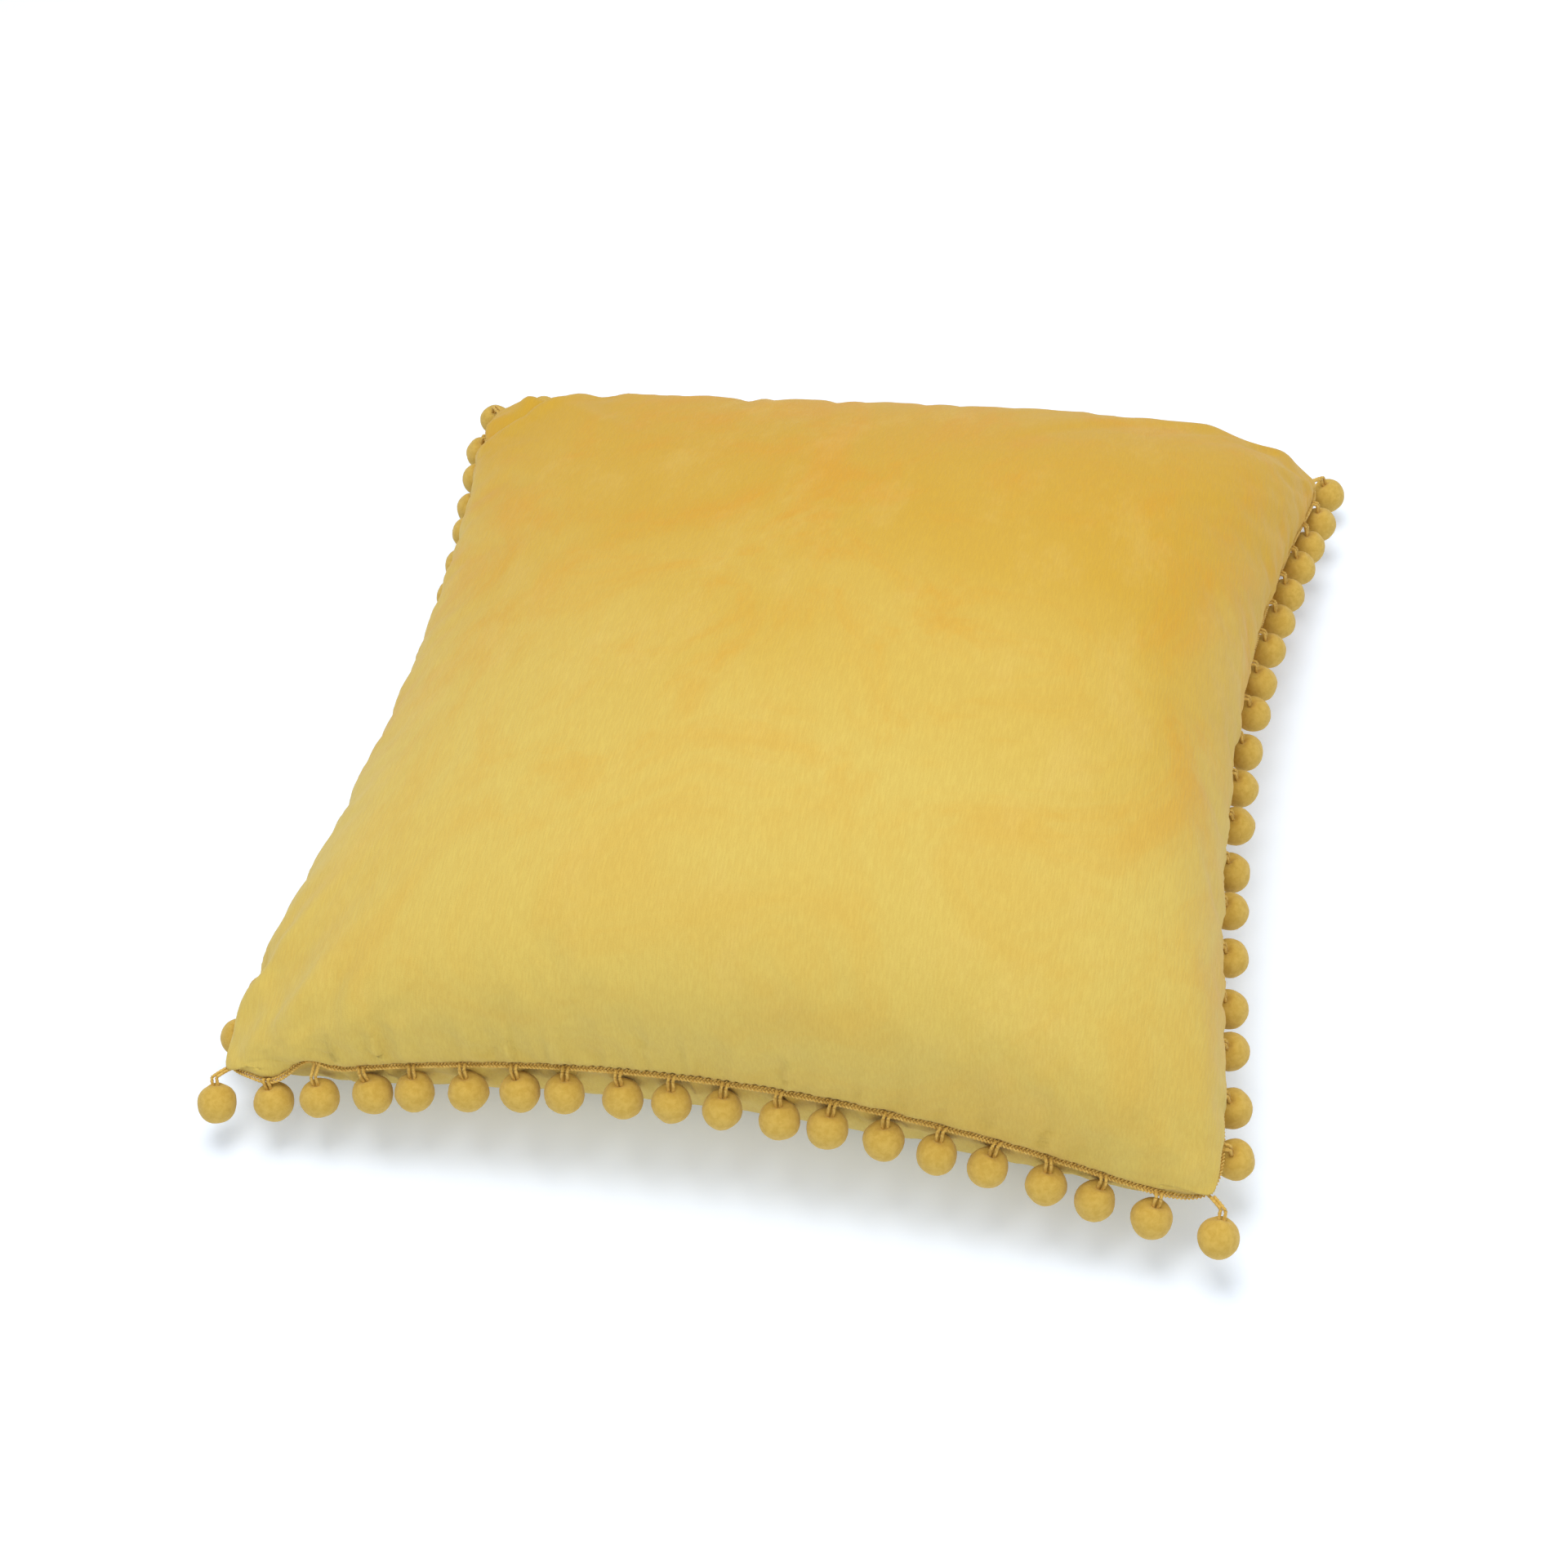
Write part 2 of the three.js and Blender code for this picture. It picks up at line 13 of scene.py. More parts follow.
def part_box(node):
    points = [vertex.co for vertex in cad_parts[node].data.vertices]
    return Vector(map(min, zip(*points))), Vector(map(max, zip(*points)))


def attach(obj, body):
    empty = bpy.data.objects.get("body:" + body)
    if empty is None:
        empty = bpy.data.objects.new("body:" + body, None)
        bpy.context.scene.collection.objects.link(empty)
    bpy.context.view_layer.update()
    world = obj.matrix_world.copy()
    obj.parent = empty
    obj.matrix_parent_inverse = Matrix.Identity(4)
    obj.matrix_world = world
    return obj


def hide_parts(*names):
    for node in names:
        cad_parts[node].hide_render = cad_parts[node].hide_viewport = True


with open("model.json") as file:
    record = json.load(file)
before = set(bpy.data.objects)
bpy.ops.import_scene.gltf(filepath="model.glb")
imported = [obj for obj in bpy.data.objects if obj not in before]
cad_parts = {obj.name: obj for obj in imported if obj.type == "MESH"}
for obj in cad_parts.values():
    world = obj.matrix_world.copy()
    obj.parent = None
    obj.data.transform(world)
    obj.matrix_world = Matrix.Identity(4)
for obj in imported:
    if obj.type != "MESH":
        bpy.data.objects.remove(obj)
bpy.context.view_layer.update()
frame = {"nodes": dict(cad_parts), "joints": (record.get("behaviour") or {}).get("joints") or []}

RNG = np.random.default_rng(7)
MM = 0.001
UP = np.array([0.0, 0.0, 1.0])

# ---- Seam outline, the same as the CAD part's ----

CORNERS = {
    "front_left": np.array([-206, -214, 29]) * MM,
    "front_right": np.array([205, -212, 33]) * MM,
    "back_right": np.array([215, 213, 26]) * MM,
    "back_left": np.array([-213, 212, 28]) * MM,
}
# from tip, to tip, how far the middle is drawn in, its height, and how square its bow is
EDGES = {
    "front": ("front_left", "front_right", 15.5 * MM, 56 * MM, 2),
    "right": ("front_right", "back_right", 25 * MM, 55 * MM, 2),
    "back": ("back_right", "back_left", 14 * MM, 43 * MM, 8),
    "left": ("back_left", "front_left", 29 * MM, 37 * MM, 2),
}
HALF_WIDTH = 215 * MM
CORNER_BULGE = 4 * MM
CROWN = 69 * MM
LEAN_RIGHT = 0.29
LEAN_FRONT = 0.29
INSET_POWER = 7
FLOOR_FULLNESS = 0.95
BELLY_SQUARENESS = 10
BELLY_POWER = 1.9
POMPOMS_PER_RUN = 3
SIDE_LEAN = math.radians(7)
LOOP_LENGTH = 11 * MM
POMPOM_RADIUS = 8.25 * MM
POMPOM_HALF_LENGTH = 8.5 * MM
BRAID_OUT = 1.5 * MM         # seam to the middle of the braid

TIP_MIDDLE = (np.array(list(CORNERS.values())).min(0) + np.array(list(CORNERS.values())).max(0)) / 2
PANEL_LOW, PANEL_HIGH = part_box("cover_top_panel")
SHIFT = (np.array(PANEL_LOW) + np.array(PANEL_HIGH)) / 2 - TIP_MIDDLE
SHIFT[2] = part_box("cover_back_panel")[0].z


def edge_points(name, t):
    """Points of one edge of the seam, t from 0 to 1, tip to tip, counter-clockwise from above."""
    start, end, pull, height, bow = EDGES[name]
    a, b = CORNERS[start], CORNERS[end]
    t = np.asarray(t, float)[..., None]
    s = np.abs(2 * t - 1)
    bowed = 1 - s**bow
    place = a + (b - a) * t + edge_outward(name) * (CORNER_BULGE * (1 - s**16) - pull * bowed)
    place[..., 2:] += (height - place[..., 2:]) * bowed
    return place + SHIFT


def edge_outward(name):
    start, end = EDGES[name][:2]
    along = (CORNERS[end] - CORNERS[start]) * (1, 1, 0)
    out = np.cross(along, UP)
    return out / np.linalg.norm(out)


def seam_sheet(a, b):
    """The sheet that the four edges span."""
    place = edge_points("front", a) * (1 - b)[..., None] + edge_points("back", 1 - a) * b[..., None]
    place += edge_points("left", 1 - b) * (1 - a)[..., None] + edge_points("right", b) * a[..., None]
    for name, weight in (
        ("front_left", (1 - a) * (1 - b)),
        ("front_right", a * (1 - b)),
        ("back_right", a * b),
        ("back_left", (1 - a) * b),
    ):
        place -= (CORNERS[name] + SHIFT) * weight[..., None]
    return place


def top_rise(u, v):
    """Height of the top panel above the seam sheet, flattened into an ear at each corner."""
    fullness = ((1 - u**2) * (1 - v**2)) ** 0.25
    return CROWN * (1 + LEAN_RIGHT * u - LEAN_FRONT * v) * fullness


def belly_drop(u, v):
    """Share of the seam's height that the back panel keeps: 1 at the seam, 0 on the floor."""
    full = (1 - u**BELLY_SQUARENESS) * (1 - v**BELLY_SQUARENESS)
    return np.maximum(0, 1 - full / FLOOR_FULLNESS) ** BELLY_POWER


def even_steps(n, upper):
    """n + 1 values from -1 to 1, evenly spaced along the panel's middle section."""
    w = np.sin(np.linspace(0, 1, 4001) * math.pi / 2) ** 0.5
    height = top_rise(w, 0) if upper else 50 * MM * belly_drop(w, 0)
    length = np.concatenate([[0], np.cumsum(np.hypot(np.diff(w) * HALF_WIDTH, np.diff(height)))])
    half = np.interp(np.linspace(0, length[-1], n // 2 + 1), length, w)
    return np.concatenate([-half[:0:-1], half])


def panel_grid(n, upper):
    """u and v of a panel's grid: even along its seam, and crowded beside it where it is steep."""
    even = np.linspace(-1, 1, n + 1)
    crowded = even_steps(n, upper)
    share = np.minimum(1, 9 * (1 - np.abs(even)))
    u = even[None] + (crowded - even)[None] * share[:, None]
    v = even[:, None] + (crowded - even)[:, None] * share[None]
    return u, v


def layer(u, v, upper, inset=0.0, clearance=0.0, ear=0.0):
    """Points of a layer. The inset draws its edge in, the clearance is kept to the top and the floor,
    and each corner is flattened for about twice ear from its tip."""
    drawn_u = u - inset / HALF_WIDTH * u**INSET_POWER
    drawn_v = v - inset / HALF_WIDTH * v**INSET_POWER
    place = seam_sheet((drawn_u + 1) / 2, (drawn_v + 1) / 2)
    if upper:
        rise = top_rise(u, v) * (1 - clearance / CROWN)
        if ear:
            from_tip = np.hypot(1 - np.abs(u), 1 - np.abs(v)) * HALF_WIDTH
            rise = rise * np.tanh(from_tip / ear)
        place[..., 2] += rise
    else:
        place[..., 2] = clearance + (place[..., 2] - clearance) * belly_drop(u, v)
    return place


# ---- Mesh helpers ----


def mesh_object(name, verts, faces, material=None, smooth=True):
    mesh = bpy.data.meshes.new(name)
    mesh.from_pydata([tuple(v) for v in verts], [], [tuple(map(int, f)) for f in faces])
    mesh.validate()
    if smooth:
        mesh.shade_smooth()
    obj = bpy.data.objects.new(name, mesh)
    bpy.context.scene.collection.objects.link(obj)
    if material:
        mesh.materials.append(material)
    return obj


def joined(parts):
    """One (verts, faces) from several."""
    verts, faces, start = [], [], 0
    for part_verts, part_faces in parts:
        verts.append(np.asarray(part_verts, float))
        faces.extend([i + start for i in face] for face in part_faces)
        start += len(part_verts)
    return np.concatenate(verts), faces


def frames_along(points, reference=UP):
    """Unit tangent, side and normal at each point of a curve."""
    tangent = np.gradient(points, axis=0)
    tangent /= np.linalg.norm(tangent, axis=1)[:, None]
    side = np.cross(tangent, reference)
    side /= np.linalg.norm(side, axis=1)[:, None]
    return tangent, side, np.cross(side, tangent)


def arc_lengths(points):
    """How far along its curve each point is."""
    return np.concatenate([[0], np.cumsum(np.linalg.norm(np.diff(points, axis=0), axis=1))])


def yarn(points, radius, sides=8, lobes=0, lay=0.0, depth=0.0, reference=UP):
    """A closed tube along points. With lobes it is a plied yarn, whose plies turn once in lay metres."""
    _, side, normal = frames_along(points, reference)
    along = arc_lengths(points)
    angle = np.arange(sides) * 2 * math.pi / sides
    turn = along[:, None] / lay * 2 * math.pi if lay else 0
    size = np.broadcast_to(np.asarray(radius, float), (len(points),))[:, None] + 0 * angle[None]
    if lobes:
        size = size * (1 + depth * np.cos(lobes * angle[None] + lobes * turn))
    ring = (
        points[:, None]
        + side[:, None] * (size * np.cos(angle))[..., None]
        + normal[:, None] * (size * np.sin(angle))[..., None]
    )
    count = len(points)
    faces = []
    for j in range(count - 1):
        for i in range(sides):
            a, b = j * sides + i, j * sides + (i + 1) % sides
            faces.append([a, a + sides, b + sides, b])
    faces.append(list(range(sides)))
    faces.append([(count - 1) * sides + i for i in reversed(range(sides))])
    return ring.reshape(-1, 3), faces


def evaluated_copy(obj):
    """The mesh of obj with its modifiers applied."""
    depsgraph = bpy.context.evaluated_depsgraph_get()
    return bpy.data.meshes.new_from_object(obj.evaluated_get(depsgraph))


def apply_modifiers(obj):
    mesh = evaluated_copy(obj)
    obj.modifiers.clear()
    obj.data = mesh
    return obj


def coordinates(mesh):
    co = np.empty(len(mesh.vertices) * 3)
    mesh.vertices.foreach_get("co", co)
    return co.reshape(-1, 3)


def mesh_edges(mesh):
    """The two vertex indices of each edge."""
    edges = np.empty(len(mesh.edges) * 2, int)
    mesh.edges.foreach_get("vertices", edges)
    return edges.reshape(-1, 2)


def vertex_normals(mesh):
    normal = np.empty(len(mesh.vertices) * 3)
    mesh.vertex_normals.foreach_get("vector", normal)
    return normal.reshape(-1, 3)


# ---- Materials ----


class Nodes:
    """Adds nodes to one material and links them."""

    def __init__(self, name, base, roughness, sheen=0.0, sheen_tint=(1, 1, 1), metallic=0.0):
        self.material = bpy.data.materials.new(name)
        self.material.use_nodes = True
        self.tree = self.material.node_tree
        self.shader = self.tree.nodes["Principled BSDF"]
        self.set(self.shader, base_color=(*base, 1), roughness=roughness, metallic=metallic)
        self.set(self.shader, sheen_weight=sheen, sheen_roughness=0.45, sheen_tint=(*sheen_tint, 1))
        self.place = self.add("ShaderNodeTexCoord").outputs["Object"]

    @staticmethod
    def set(node, **values):
        for key, value in values.items():
            node.inputs[key.replace("_", " ").title()].default_value = value

    def add(self, kind, **settings):
        node = self.tree.nodes.new(kind)
        for key, value in settings.items():
            setattr(node, key, value)
        return node

    def link(self, output, socket):
        self.tree.links.new(output, socket)

    def noise(self, scale, detail=3.0, roughness=0.5, stretch=None, distortion=0.0):
        node = self.add("ShaderNodeTexNoise")
        self.set(node, scale=scale, detail=detail, roughness=roughness, distortion=distortion)
        source = self.place
        if stretch:
            mapping = self.add("ShaderNodeMapping")
            mapping.inputs["Scale"].default_value = stretch
            self.link(self.place, mapping.inputs["Vector"])
            source = mapping.outputs["Vector"]
        self.link(source, node.inputs["Vector"])
        return node.outputs["Fac"]

    def wave(self, scale, direction, distortion=0.0):
        node = self.add("ShaderNodeTexWave", bands_direction=direction)
        self.set(node, scale=scale, distortion=distortion)
        self.link(self.place, node.inputs["Vector"])
        return node.outputs["Fac"]

    def range(self, value, low, high, to_low=0.0, to_high=1.0):
        node = self.add("ShaderNodeMapRange", interpolation_type="SMOOTHSTEP")
        for key, number in (("From Min", low), ("From Max", high), ("To Min", to_low), ("To Max", to_high)):
            node.inputs[key].default_value = number
        self.link(value, node.inputs["Value"])
        return node.outputs["Result"]

    def math(self, operation, a, b):
        node = self.add("ShaderNodeMath", operation=operation)
        for socket, value in zip(node.inputs, (a, b)):
            if isinstance(value, (int, float)):
                socket.default_value = value
            else:
                self.link(value, socket)
        return node.outputs[0]

    def mix(self, factor, a, b):
        node = self.add("ShaderNodeMix", data_type="RGBA")
        colours = [s for s in node.inputs if s.type == "RGBA"]
        for socket, value in zip(colours, (a, b)):
            if isinstance(value, tuple):
                socket.default_value = (*value, 1)
            else:
                self.link(value, socket)
        if isinstance(factor, (int, float)):
            node.inputs[0].default_value = factor
        else:
            self.link(factor, node.inputs[0])
        return [s for s in node.outputs if s.type == "RGBA"][0]

    def colour(self, output):
        self.link(output, self.shader.inputs["Base Color"])

    def bump(self, height, strength, distance, below=None):
        node = self.add("ShaderNodeBump")
        node.inputs["Strength"].default_value = strength
        node.inputs["Distance"].default_value = distance
        self.link(height, node.inputs["Height"])
        if below:
            self.link(below, node.inputs["Normal"])
        return node.outputs["Normal"]

    def normal(self, output):
        self.link(output, self.shader.inputs["Normal"])


def srgb(r, g, b):
    """A linear colour from an sRGB one, 0 to 255."""
    return tuple(((c / 255 + 0.055) / 1.055) ** 2.4 for c in (r, g, b))


def velvet_material():
    """Short cotton pile, with orange marks where it is pressed. Painted sheen and shade: the colour is
    painted paler and greener where the cloth faces or lies towards the front, and a darker, deeper orange
    behind."""
    m = Nodes("velvet", srgb(205, 170, 78), 0.85, sheen=0.12, sheen_tint=(1.0, 0.96, 0.82))
    # Painted sheen and shade: cloth that faces the front is painted paler and greener, the rest a darker
    # orange.
    sheen_facing = m.add("ShaderNodeVectorMath", operation="DOT_PRODUCT")
    sheen_facing.inputs[1].default_value = (-0.1, -0.5, 0.0)
    m.link(m.add("ShaderNodeNewGeometry").outputs["Normal"], sheen_facing.inputs[0])
    # Painted sheen and shade by position: paler towards the front and left, darker orange towards the back
    # and right.
    place = m.add("ShaderNodeVectorMath", operation="DOT_PRODUCT")
    place.inputs[1].default_value = (-0.35, -2.3, 0.0)
    m.link(m.place, place.inputs[0])
    drift = m.math("MULTIPLY", m.noise(9, 3, 0.5, distortion=0.6), 0.5)
    sheen_and_shade_gradient = m.math("ADD", m.math("ADD", sheen_facing.outputs["Value"], place.outputs["Value"]), drift)
    # front is the share of the painted sheen colour; the rest is the painted shade colour.
    front = m.range(sheen_and_shade_gradient, -0.15, 0.62)
    colour = m.mix(front, srgb(203, 159, 34), srgb(212, 185, 88))
    patches = m.range(m.noise(11, 7, 0.66, distortion=1.4), 0.42, 0.68)
    patches = m.math("MULTIPLY", patches, m.range(sheen_and_shade_gradient, 0.75, 0.0, 0.2, 0.62))
    colour = m.mix(patches, colour, srgb(212, 150, 18))
    smears = m.range(m.noise(26, 6, 0.7, stretch=(1.0, 0.5, 1.0)), 0.5, 0.72)
    colour = m.mix(m.math("MULTIPLY", smears, 0.22), colour, srgb(220, 190, 104))
    grain = m.range(m.noise(1, 3, 0.6, stretch=(1300, 150, 300)), 0.3, 0.7)
    colour = m.mix(m.math("MULTIPLY", grain, 0.2), colour, srgb(182, 140, 50))
    m.colour(colour)
    pile = m.noise(1900, 2, 0.7)
    strokes = m.bump(grain, 0.3, 0.0004)
    m.normal(m.bump(pile, 0.35, 0.0005, below=strokes))
    return m.material


def yarn_material(name, base, dark, twist=900, sheen=0.15):
    m = Nodes(name, srgb(*base), 0.75, sheen=sheen, sheen_tint=(1.0, 0.9, 0.7))
    fibres = m.noise(1, 3, 0.6, stretch=(twist, twist, twist * 0.3))
    m.colour(m.mix(m.range(fibres, 0.35, 0.7), srgb(*dark), srgb(*base)))
    m.normal(m.bump(fibres, 0.6, 0.0004))
    return m.material


def felt_material():
    """Matted yarn ends, clipped into a ball: a fine, close pile with a little mottling."""
    m = Nodes("pompom_felt", srgb(204, 168, 74), 0.95, sheen=0.2, sheen_tint=(1.0, 0.92, 0.66))
    tufts = m.noise(420, 3, 0.6, distortion=0.4)
    fibres = m.noise(3200, 3, 0.7, distortion=1.2)
    colour = m.mix(m.range(tufts, 0.3, 0.7), srgb(196, 158, 62), srgb(208, 172, 78))
    colour = m.mix(m.math("MULTIPLY", m.range(fibres, 0.45, 0.8), 0.3), colour, srgb(222, 190, 102))
    m.colour(colour)
    m.normal(m.bump(fibres, 0.55, 0.00025, below=m.bump(tufts, 0.3, 0.0006)))
    return m.material


def woven_material(name, base, dark, threads, strength=0.4, roughness=0.8):
    """Plain weave: two sets of threads, threads per metre, that dip under each other."""
    m = Nodes(name, srgb(*base), roughness)
    warp = m.wave(threads / 2, "X", 0.6)
    weft = m.wave(threads / 2, "Y", 0.6)
    cloth = m.math("MAXIMUM", warp, weft)
    m.colour(m.mix(m.range(cloth, 0.3, 0.95), srgb(*dark), srgb(*base)))
    m.normal(m.bump(cloth, strength, 0.0003))
    return m.material


def metal_material():
    m = Nodes("zip_brass", srgb(196, 158, 84), 0.32, metallic=1.0)
    scuffs = m.noise(700, 3, 0.5)
    m.colour(m.mix(m.range(scuffs, 0.4, 0.7), srgb(214, 178, 104), srgb(226, 192, 120)))
    m.link(m.range(scuffs, 0.3, 0.75, 0.24, 0.34), m.shader.inputs["Roughness"])
    m.normal(m.bump(scuffs, 0.03, 0.0001))
    return m.material


VELVET = velvet_material()
BRAID = yarn_material("trim_braid", (232, 196, 104), (206, 164, 70))
LOOP = yarn_material("loop_yarn", (226, 188, 94), (196, 154, 62), twist=1400)
FELT = felt_material()
COTTON = woven_material("case_cotton", (240, 238, 230), (206, 203, 194), 1400)
TWILL = woven_material("zip_tape", (206, 164, 72), (158, 118, 42), 1800)
NYLON = yarn_material("zip_nylon", (200, 156, 62), (170, 126, 44), twist=400, sheen=0.0)
BRASS = metal_material()
SATIN = woven_material("label_satin", (245, 243, 236), (222, 219, 208), 2600, 0.2, roughness=0.45)
FIBRE = yarn_material("fibre", (250, 250, 250), (225, 226, 230), twist=260, sheen=0.3)

# ---- Cover ----

GRID = 112                     # cells along each edge of a panel
TIP_ROUNDING = 8.5 * MM
EAR = 27 * MM
PUCKER = 0.7 * MM              # unevenness of the cloth beside the seam, before it is filled
LIP = 1.9 * MM                 # how far the cloth swells beside the braid
LIP_AT = 4.5 * MM
CLOTH = 1.3 * MM
# Folds pressed into the top panel: edge, place along it, direction from the seam's inward normal,
# length, depth and width.
FOLDS = [
    ("front", 0.105, -32, 46, 3.6, 6.0),
    ("front", 0.135, 12, 26, 1.4, 4.5),
    ("front", 0.035, 30, 26, 1.0, 5.5),
    ("front", 0.93, -30, 34, 1.2, 6.0),
    ("back", 0.905, -50, 92, 8.0, 8.0),
    ("back", 0.10, 42, 60, 2.4, 10.0),
    ("left", 0.90, -36, 34, 2.0, 6.0),
    ("right", 0.93, -30, 40, 1.8, 7.0),
]
# How far the top panel hangs over the seam of each edge, and over what height.
OVERHANG = {"front": 0.5, "right": 2.6, "back": 1.5, "left": 4.0}
OVERHANG_AT = 17 * MM
# Depth of the gathers that run in from the seam of each edge.
GATHER = {"front": 2.2, "right": 1.2, "back": 0.3, "left": 0.7}
GATHER_FROM = 7 * MM
GATHER_REACH = 19 * MM
DIP = 1.3 * MM                 # how far the cloth sinks past each end of the slit
TIP_CALM = 24 * MM             # swells and folds weaken this near a tip
CALM_ROUNDS = 8                # smoothing of the cloth near a tip
BROAD_ROUNDS = 60              # smoothing that finds the filled cloth's broad swelling
BROAD_KEPT = 0.25              # share of the broad swelling that is kept
FLOOR_GAP = 0.05 * MM
THIN_WITHIN = (5 * MM, 32 * MM)  # from the seam and from a tip: the cloth is thin in the turnings


def outline(rows, row):
    """Indices of a grid's outline, once round from its first point."""
    up, across = rows - 1, row - 1
    ring = list(range(across)) + [j * row + across for j in range(up)]
    return ring + [up * row + i for i in range(across, 0, -1)] + [j * row for j in range(up, 0, -1)]


def rounded_ring(ring):
    """The seam with its tips rounded and the near left pinch put in."""
    count = len(ring)
    step = np.linalg.norm(np.roll(ring, -1, 0) - ring, axis=1).mean()
    reach = np.arange(-12, 13)
    weight = np.exp(-0.5 * (reach * step / TIP_ROUNDING) ** 2)
    smooth = sum(np.roll(ring, -k, 0) * w for k, w in zip(reach, weight)) / weight.sum()
    to_tip = np.minimum.reduce([np.linalg.norm(ring - ring[k * count // 4], axis=1) for k in range(4)])
    share = np.clip(1.6 - to_tip / (16 * MM), 0, 1)[:, None]
    ring = ring + (smooth - ring) * share
    along = np.arange(count) * step
    jog = np.exp(-(((along - 41 * MM) / (9 * MM)) ** 2))
    jog -= 0.5 * np.exp(-(((along - 24 * MM) / (8 * MM)) ** 2))
    return ring + jog[:, None] * np.array([0.0, 3.6, 4.2]) * MM


def wobble(points, length, rng, waves=24):
    """Smooth noise from -1 to 1 with about this wavelength."""
    direction = rng.normal(size=(waves, 3))
    direction /= np.linalg.norm(direction, axis=1)[:, None]
    rate = direction * 2 * math.pi / (length * rng.uniform(0.7, 1.6, (waves, 1)))
    phase = rng.uniform(0, 2 * math.pi, waves)
    return np.sin(points @ rate.T + phase).sum(1) / math.sqrt(waves) / 1.5


def spread(shift, ring, rounds=260):
    """The outline's shift, spread evenly into a panel's grid so that no cell folds over."""
    field = np.zeros((GRID + 1, GRID + 1, 3))
    flat = field.reshape(-1, 3)
    for _ in range(rounds):
        flat[ring] = shift
        field[1:-1, 1:-1] = (field[:-2, 1:-1] + field[2:, 1:-1] + field[1:-1, :-2] + field[1:-1, 2:]) / 4
    return flat


def cover_mesh():
    """Both panels as one closed grid that shares the seam. Material 0 is the top, 1 the back."""
    top_u, top_v = panel_grid(GRID, True)
    back_u, back_v = panel_grid(GRID, False)
    top = layer(top_u, top_v, True, ear=EAR).reshape(-1, 3)
    back = layer(back_u, back_v, False).reshape(-1, 3)
    ring = outline(GRID + 1, GRID + 1)
    seam = top[ring]
    rounded = rounded_ring(seam)
    shift = spread(rounded - seam, ring)
    top += shift
    back += shift
    start = len(top)
    renumber = np.arange(len(back)) + start
    renumber[ring] = ring
    row = GRID + 1
    faces = []
    for j in range(GRID):
        for i in range(GRID):
            k = j * row + i
            faces.append([k, k + 1, k + row + 1, k + row])
    under = [[renumber[f[0]], renumber[f[3]], renumber[f[2]], renumber[f[1]]] for f in faces]
    obj = mesh_object("cover", np.concatenate([top, back]), faces + under)
    bare = bmesh.new()
    bare.from_mesh(obj.data)
    loose = [v for v in bare.verts if not v.link_faces]
    bmesh.ops.delete(bare, geom=loose, context="VERTS")
    bare.to_mesh(obj.data)
    bare.free()
    obj.data.materials.append(VELVET)
    obj.data.materials.append(VELVET)
    index = [0] * len(faces) + [1] * len(under)
    obj.data.polygons.foreach_set("material_index", index)
    return obj, rounded


def tree_of(points):
    tree = kdtree.KDTree(len(points))
    for k, point in enumerate(points):
        tree.insert(point, k)
    tree.balance()
    return tree


def distances(points, tree):
    return np.array([tree.find(p)[2] for p in points])


def tip_distances(points):
    """How far each point is from the nearest corner tip."""
    return np.min([np.linalg.norm(points - tip - SHIFT, axis=1) for tip in CORNERS.values()], axis=0)


def zip_nearness(points):
    """1 on the cloth beside the slit, falling to 0 a little way off."""
    local = zip_local(points, ZIP_MIDDLE)
    gap = np.maximum(np.abs(local[:, :2]) - (SLIT_HALF + 6 * MM), 0)
    near = np.clip(1 - np.linalg.norm(gap, axis=1) / (10 * MM), 0, 1)
    return near * (np.abs(local[:, 2]) < 25 * MM)


def lowpass(values, edges, rounds):
    """Values at a mesh's points, each averaged with its neighbours' this many times."""
    degree = np.bincount(edges.ravel(), minlength=len(values))[:, None]
    for _ in range(rounds):
        total = np.zeros_like(values)
        np.add.at(total, edges[:, 0], values[edges[:, 1]])
        np.add.at(total, edges[:, 1], values[edges[:, 0]])
        values = 0.5 * values + 0.5 * total / degree
    return values


def fill_cover(obj, tree, steps=20, pressure=4.0, cap=7 * MM):
    """Fills the cover: its cloth has a little slack beside the seam, which gathers into puckers."""
    start = coordinates(obj.data)
    distance = distances(start, tree)
    rough = start + vertex_normals(obj.data) * (
        PUCKER * wobble(start, 13 * MM, RNG) * np.exp(-distance / (22 * MM))
    )[:, None]
    held = np.clip((7 * MM - distance) / (5 * MM), 0, 1)
    held = np.maximum(held, np.clip((4 * MM - start[:, 2]) / (3 * MM), 0, 1))
    held = np.maximum(held, zip_nearness(start))
    rough = start + (rough - start) * (1 - held)[:, None]
    obj.data.vertices.foreach_set("co", rough.ravel())
    group = obj.vertex_groups.new(name="held")
    tight = obj.vertex_groups.new(name="tight")
    for k, weight in enumerate(held):
        group.add([k], float(weight), "REPLACE")
        tight.add([k], float(np.clip(distance[k] / (70 * MM), 0, 1)), "REPLACE")
    cloth = obj.modifiers.new("cloth", "CLOTH")
    settings = cloth.settings
    settings.quality = 5
    settings.mass = 0.25
    settings.tension_stiffness = 15
    settings.compression_stiffness = 12
    settings.shear_stiffness = 5
    settings.bending_stiffness = 0.25
    settings.use_pressure = True
    settings.uniform_pressure_force = pressure
    settings.shrink_min = -0.035
    settings.shrink_max = -0.004
    settings.vertex_group_shrink = tight.name
    settings.vertex_group_mass = group.name
    settings.effector_weights.gravity = 0
    for step in range(1, steps + 1):
        bpy.context.scene.frame_set(step)
    apply_modifiers(obj)
    bpy.context.scene.frame_set(1)
    moved = coordinates(obj.data) - start
    broad = lowpass(moved, mesh_edges(obj.data), BROAD_ROUNDS)
    fine = (moved - broad) * (0.35 + 0.75 * np.exp(-((distance / (45 * MM)) ** 2)))[:, None]
    moved = fine + broad * BROAD_KEPT
    length = np.linalg.norm(moved, axis=1)[:, None]
    moved *= np.minimum(1, cap / np.maximum(length, 1e-9))
    obj.data.vertices.foreach_set("co", (start + moved).ravel())
    obj.data.update()
    obj.vertex_groups.clear()


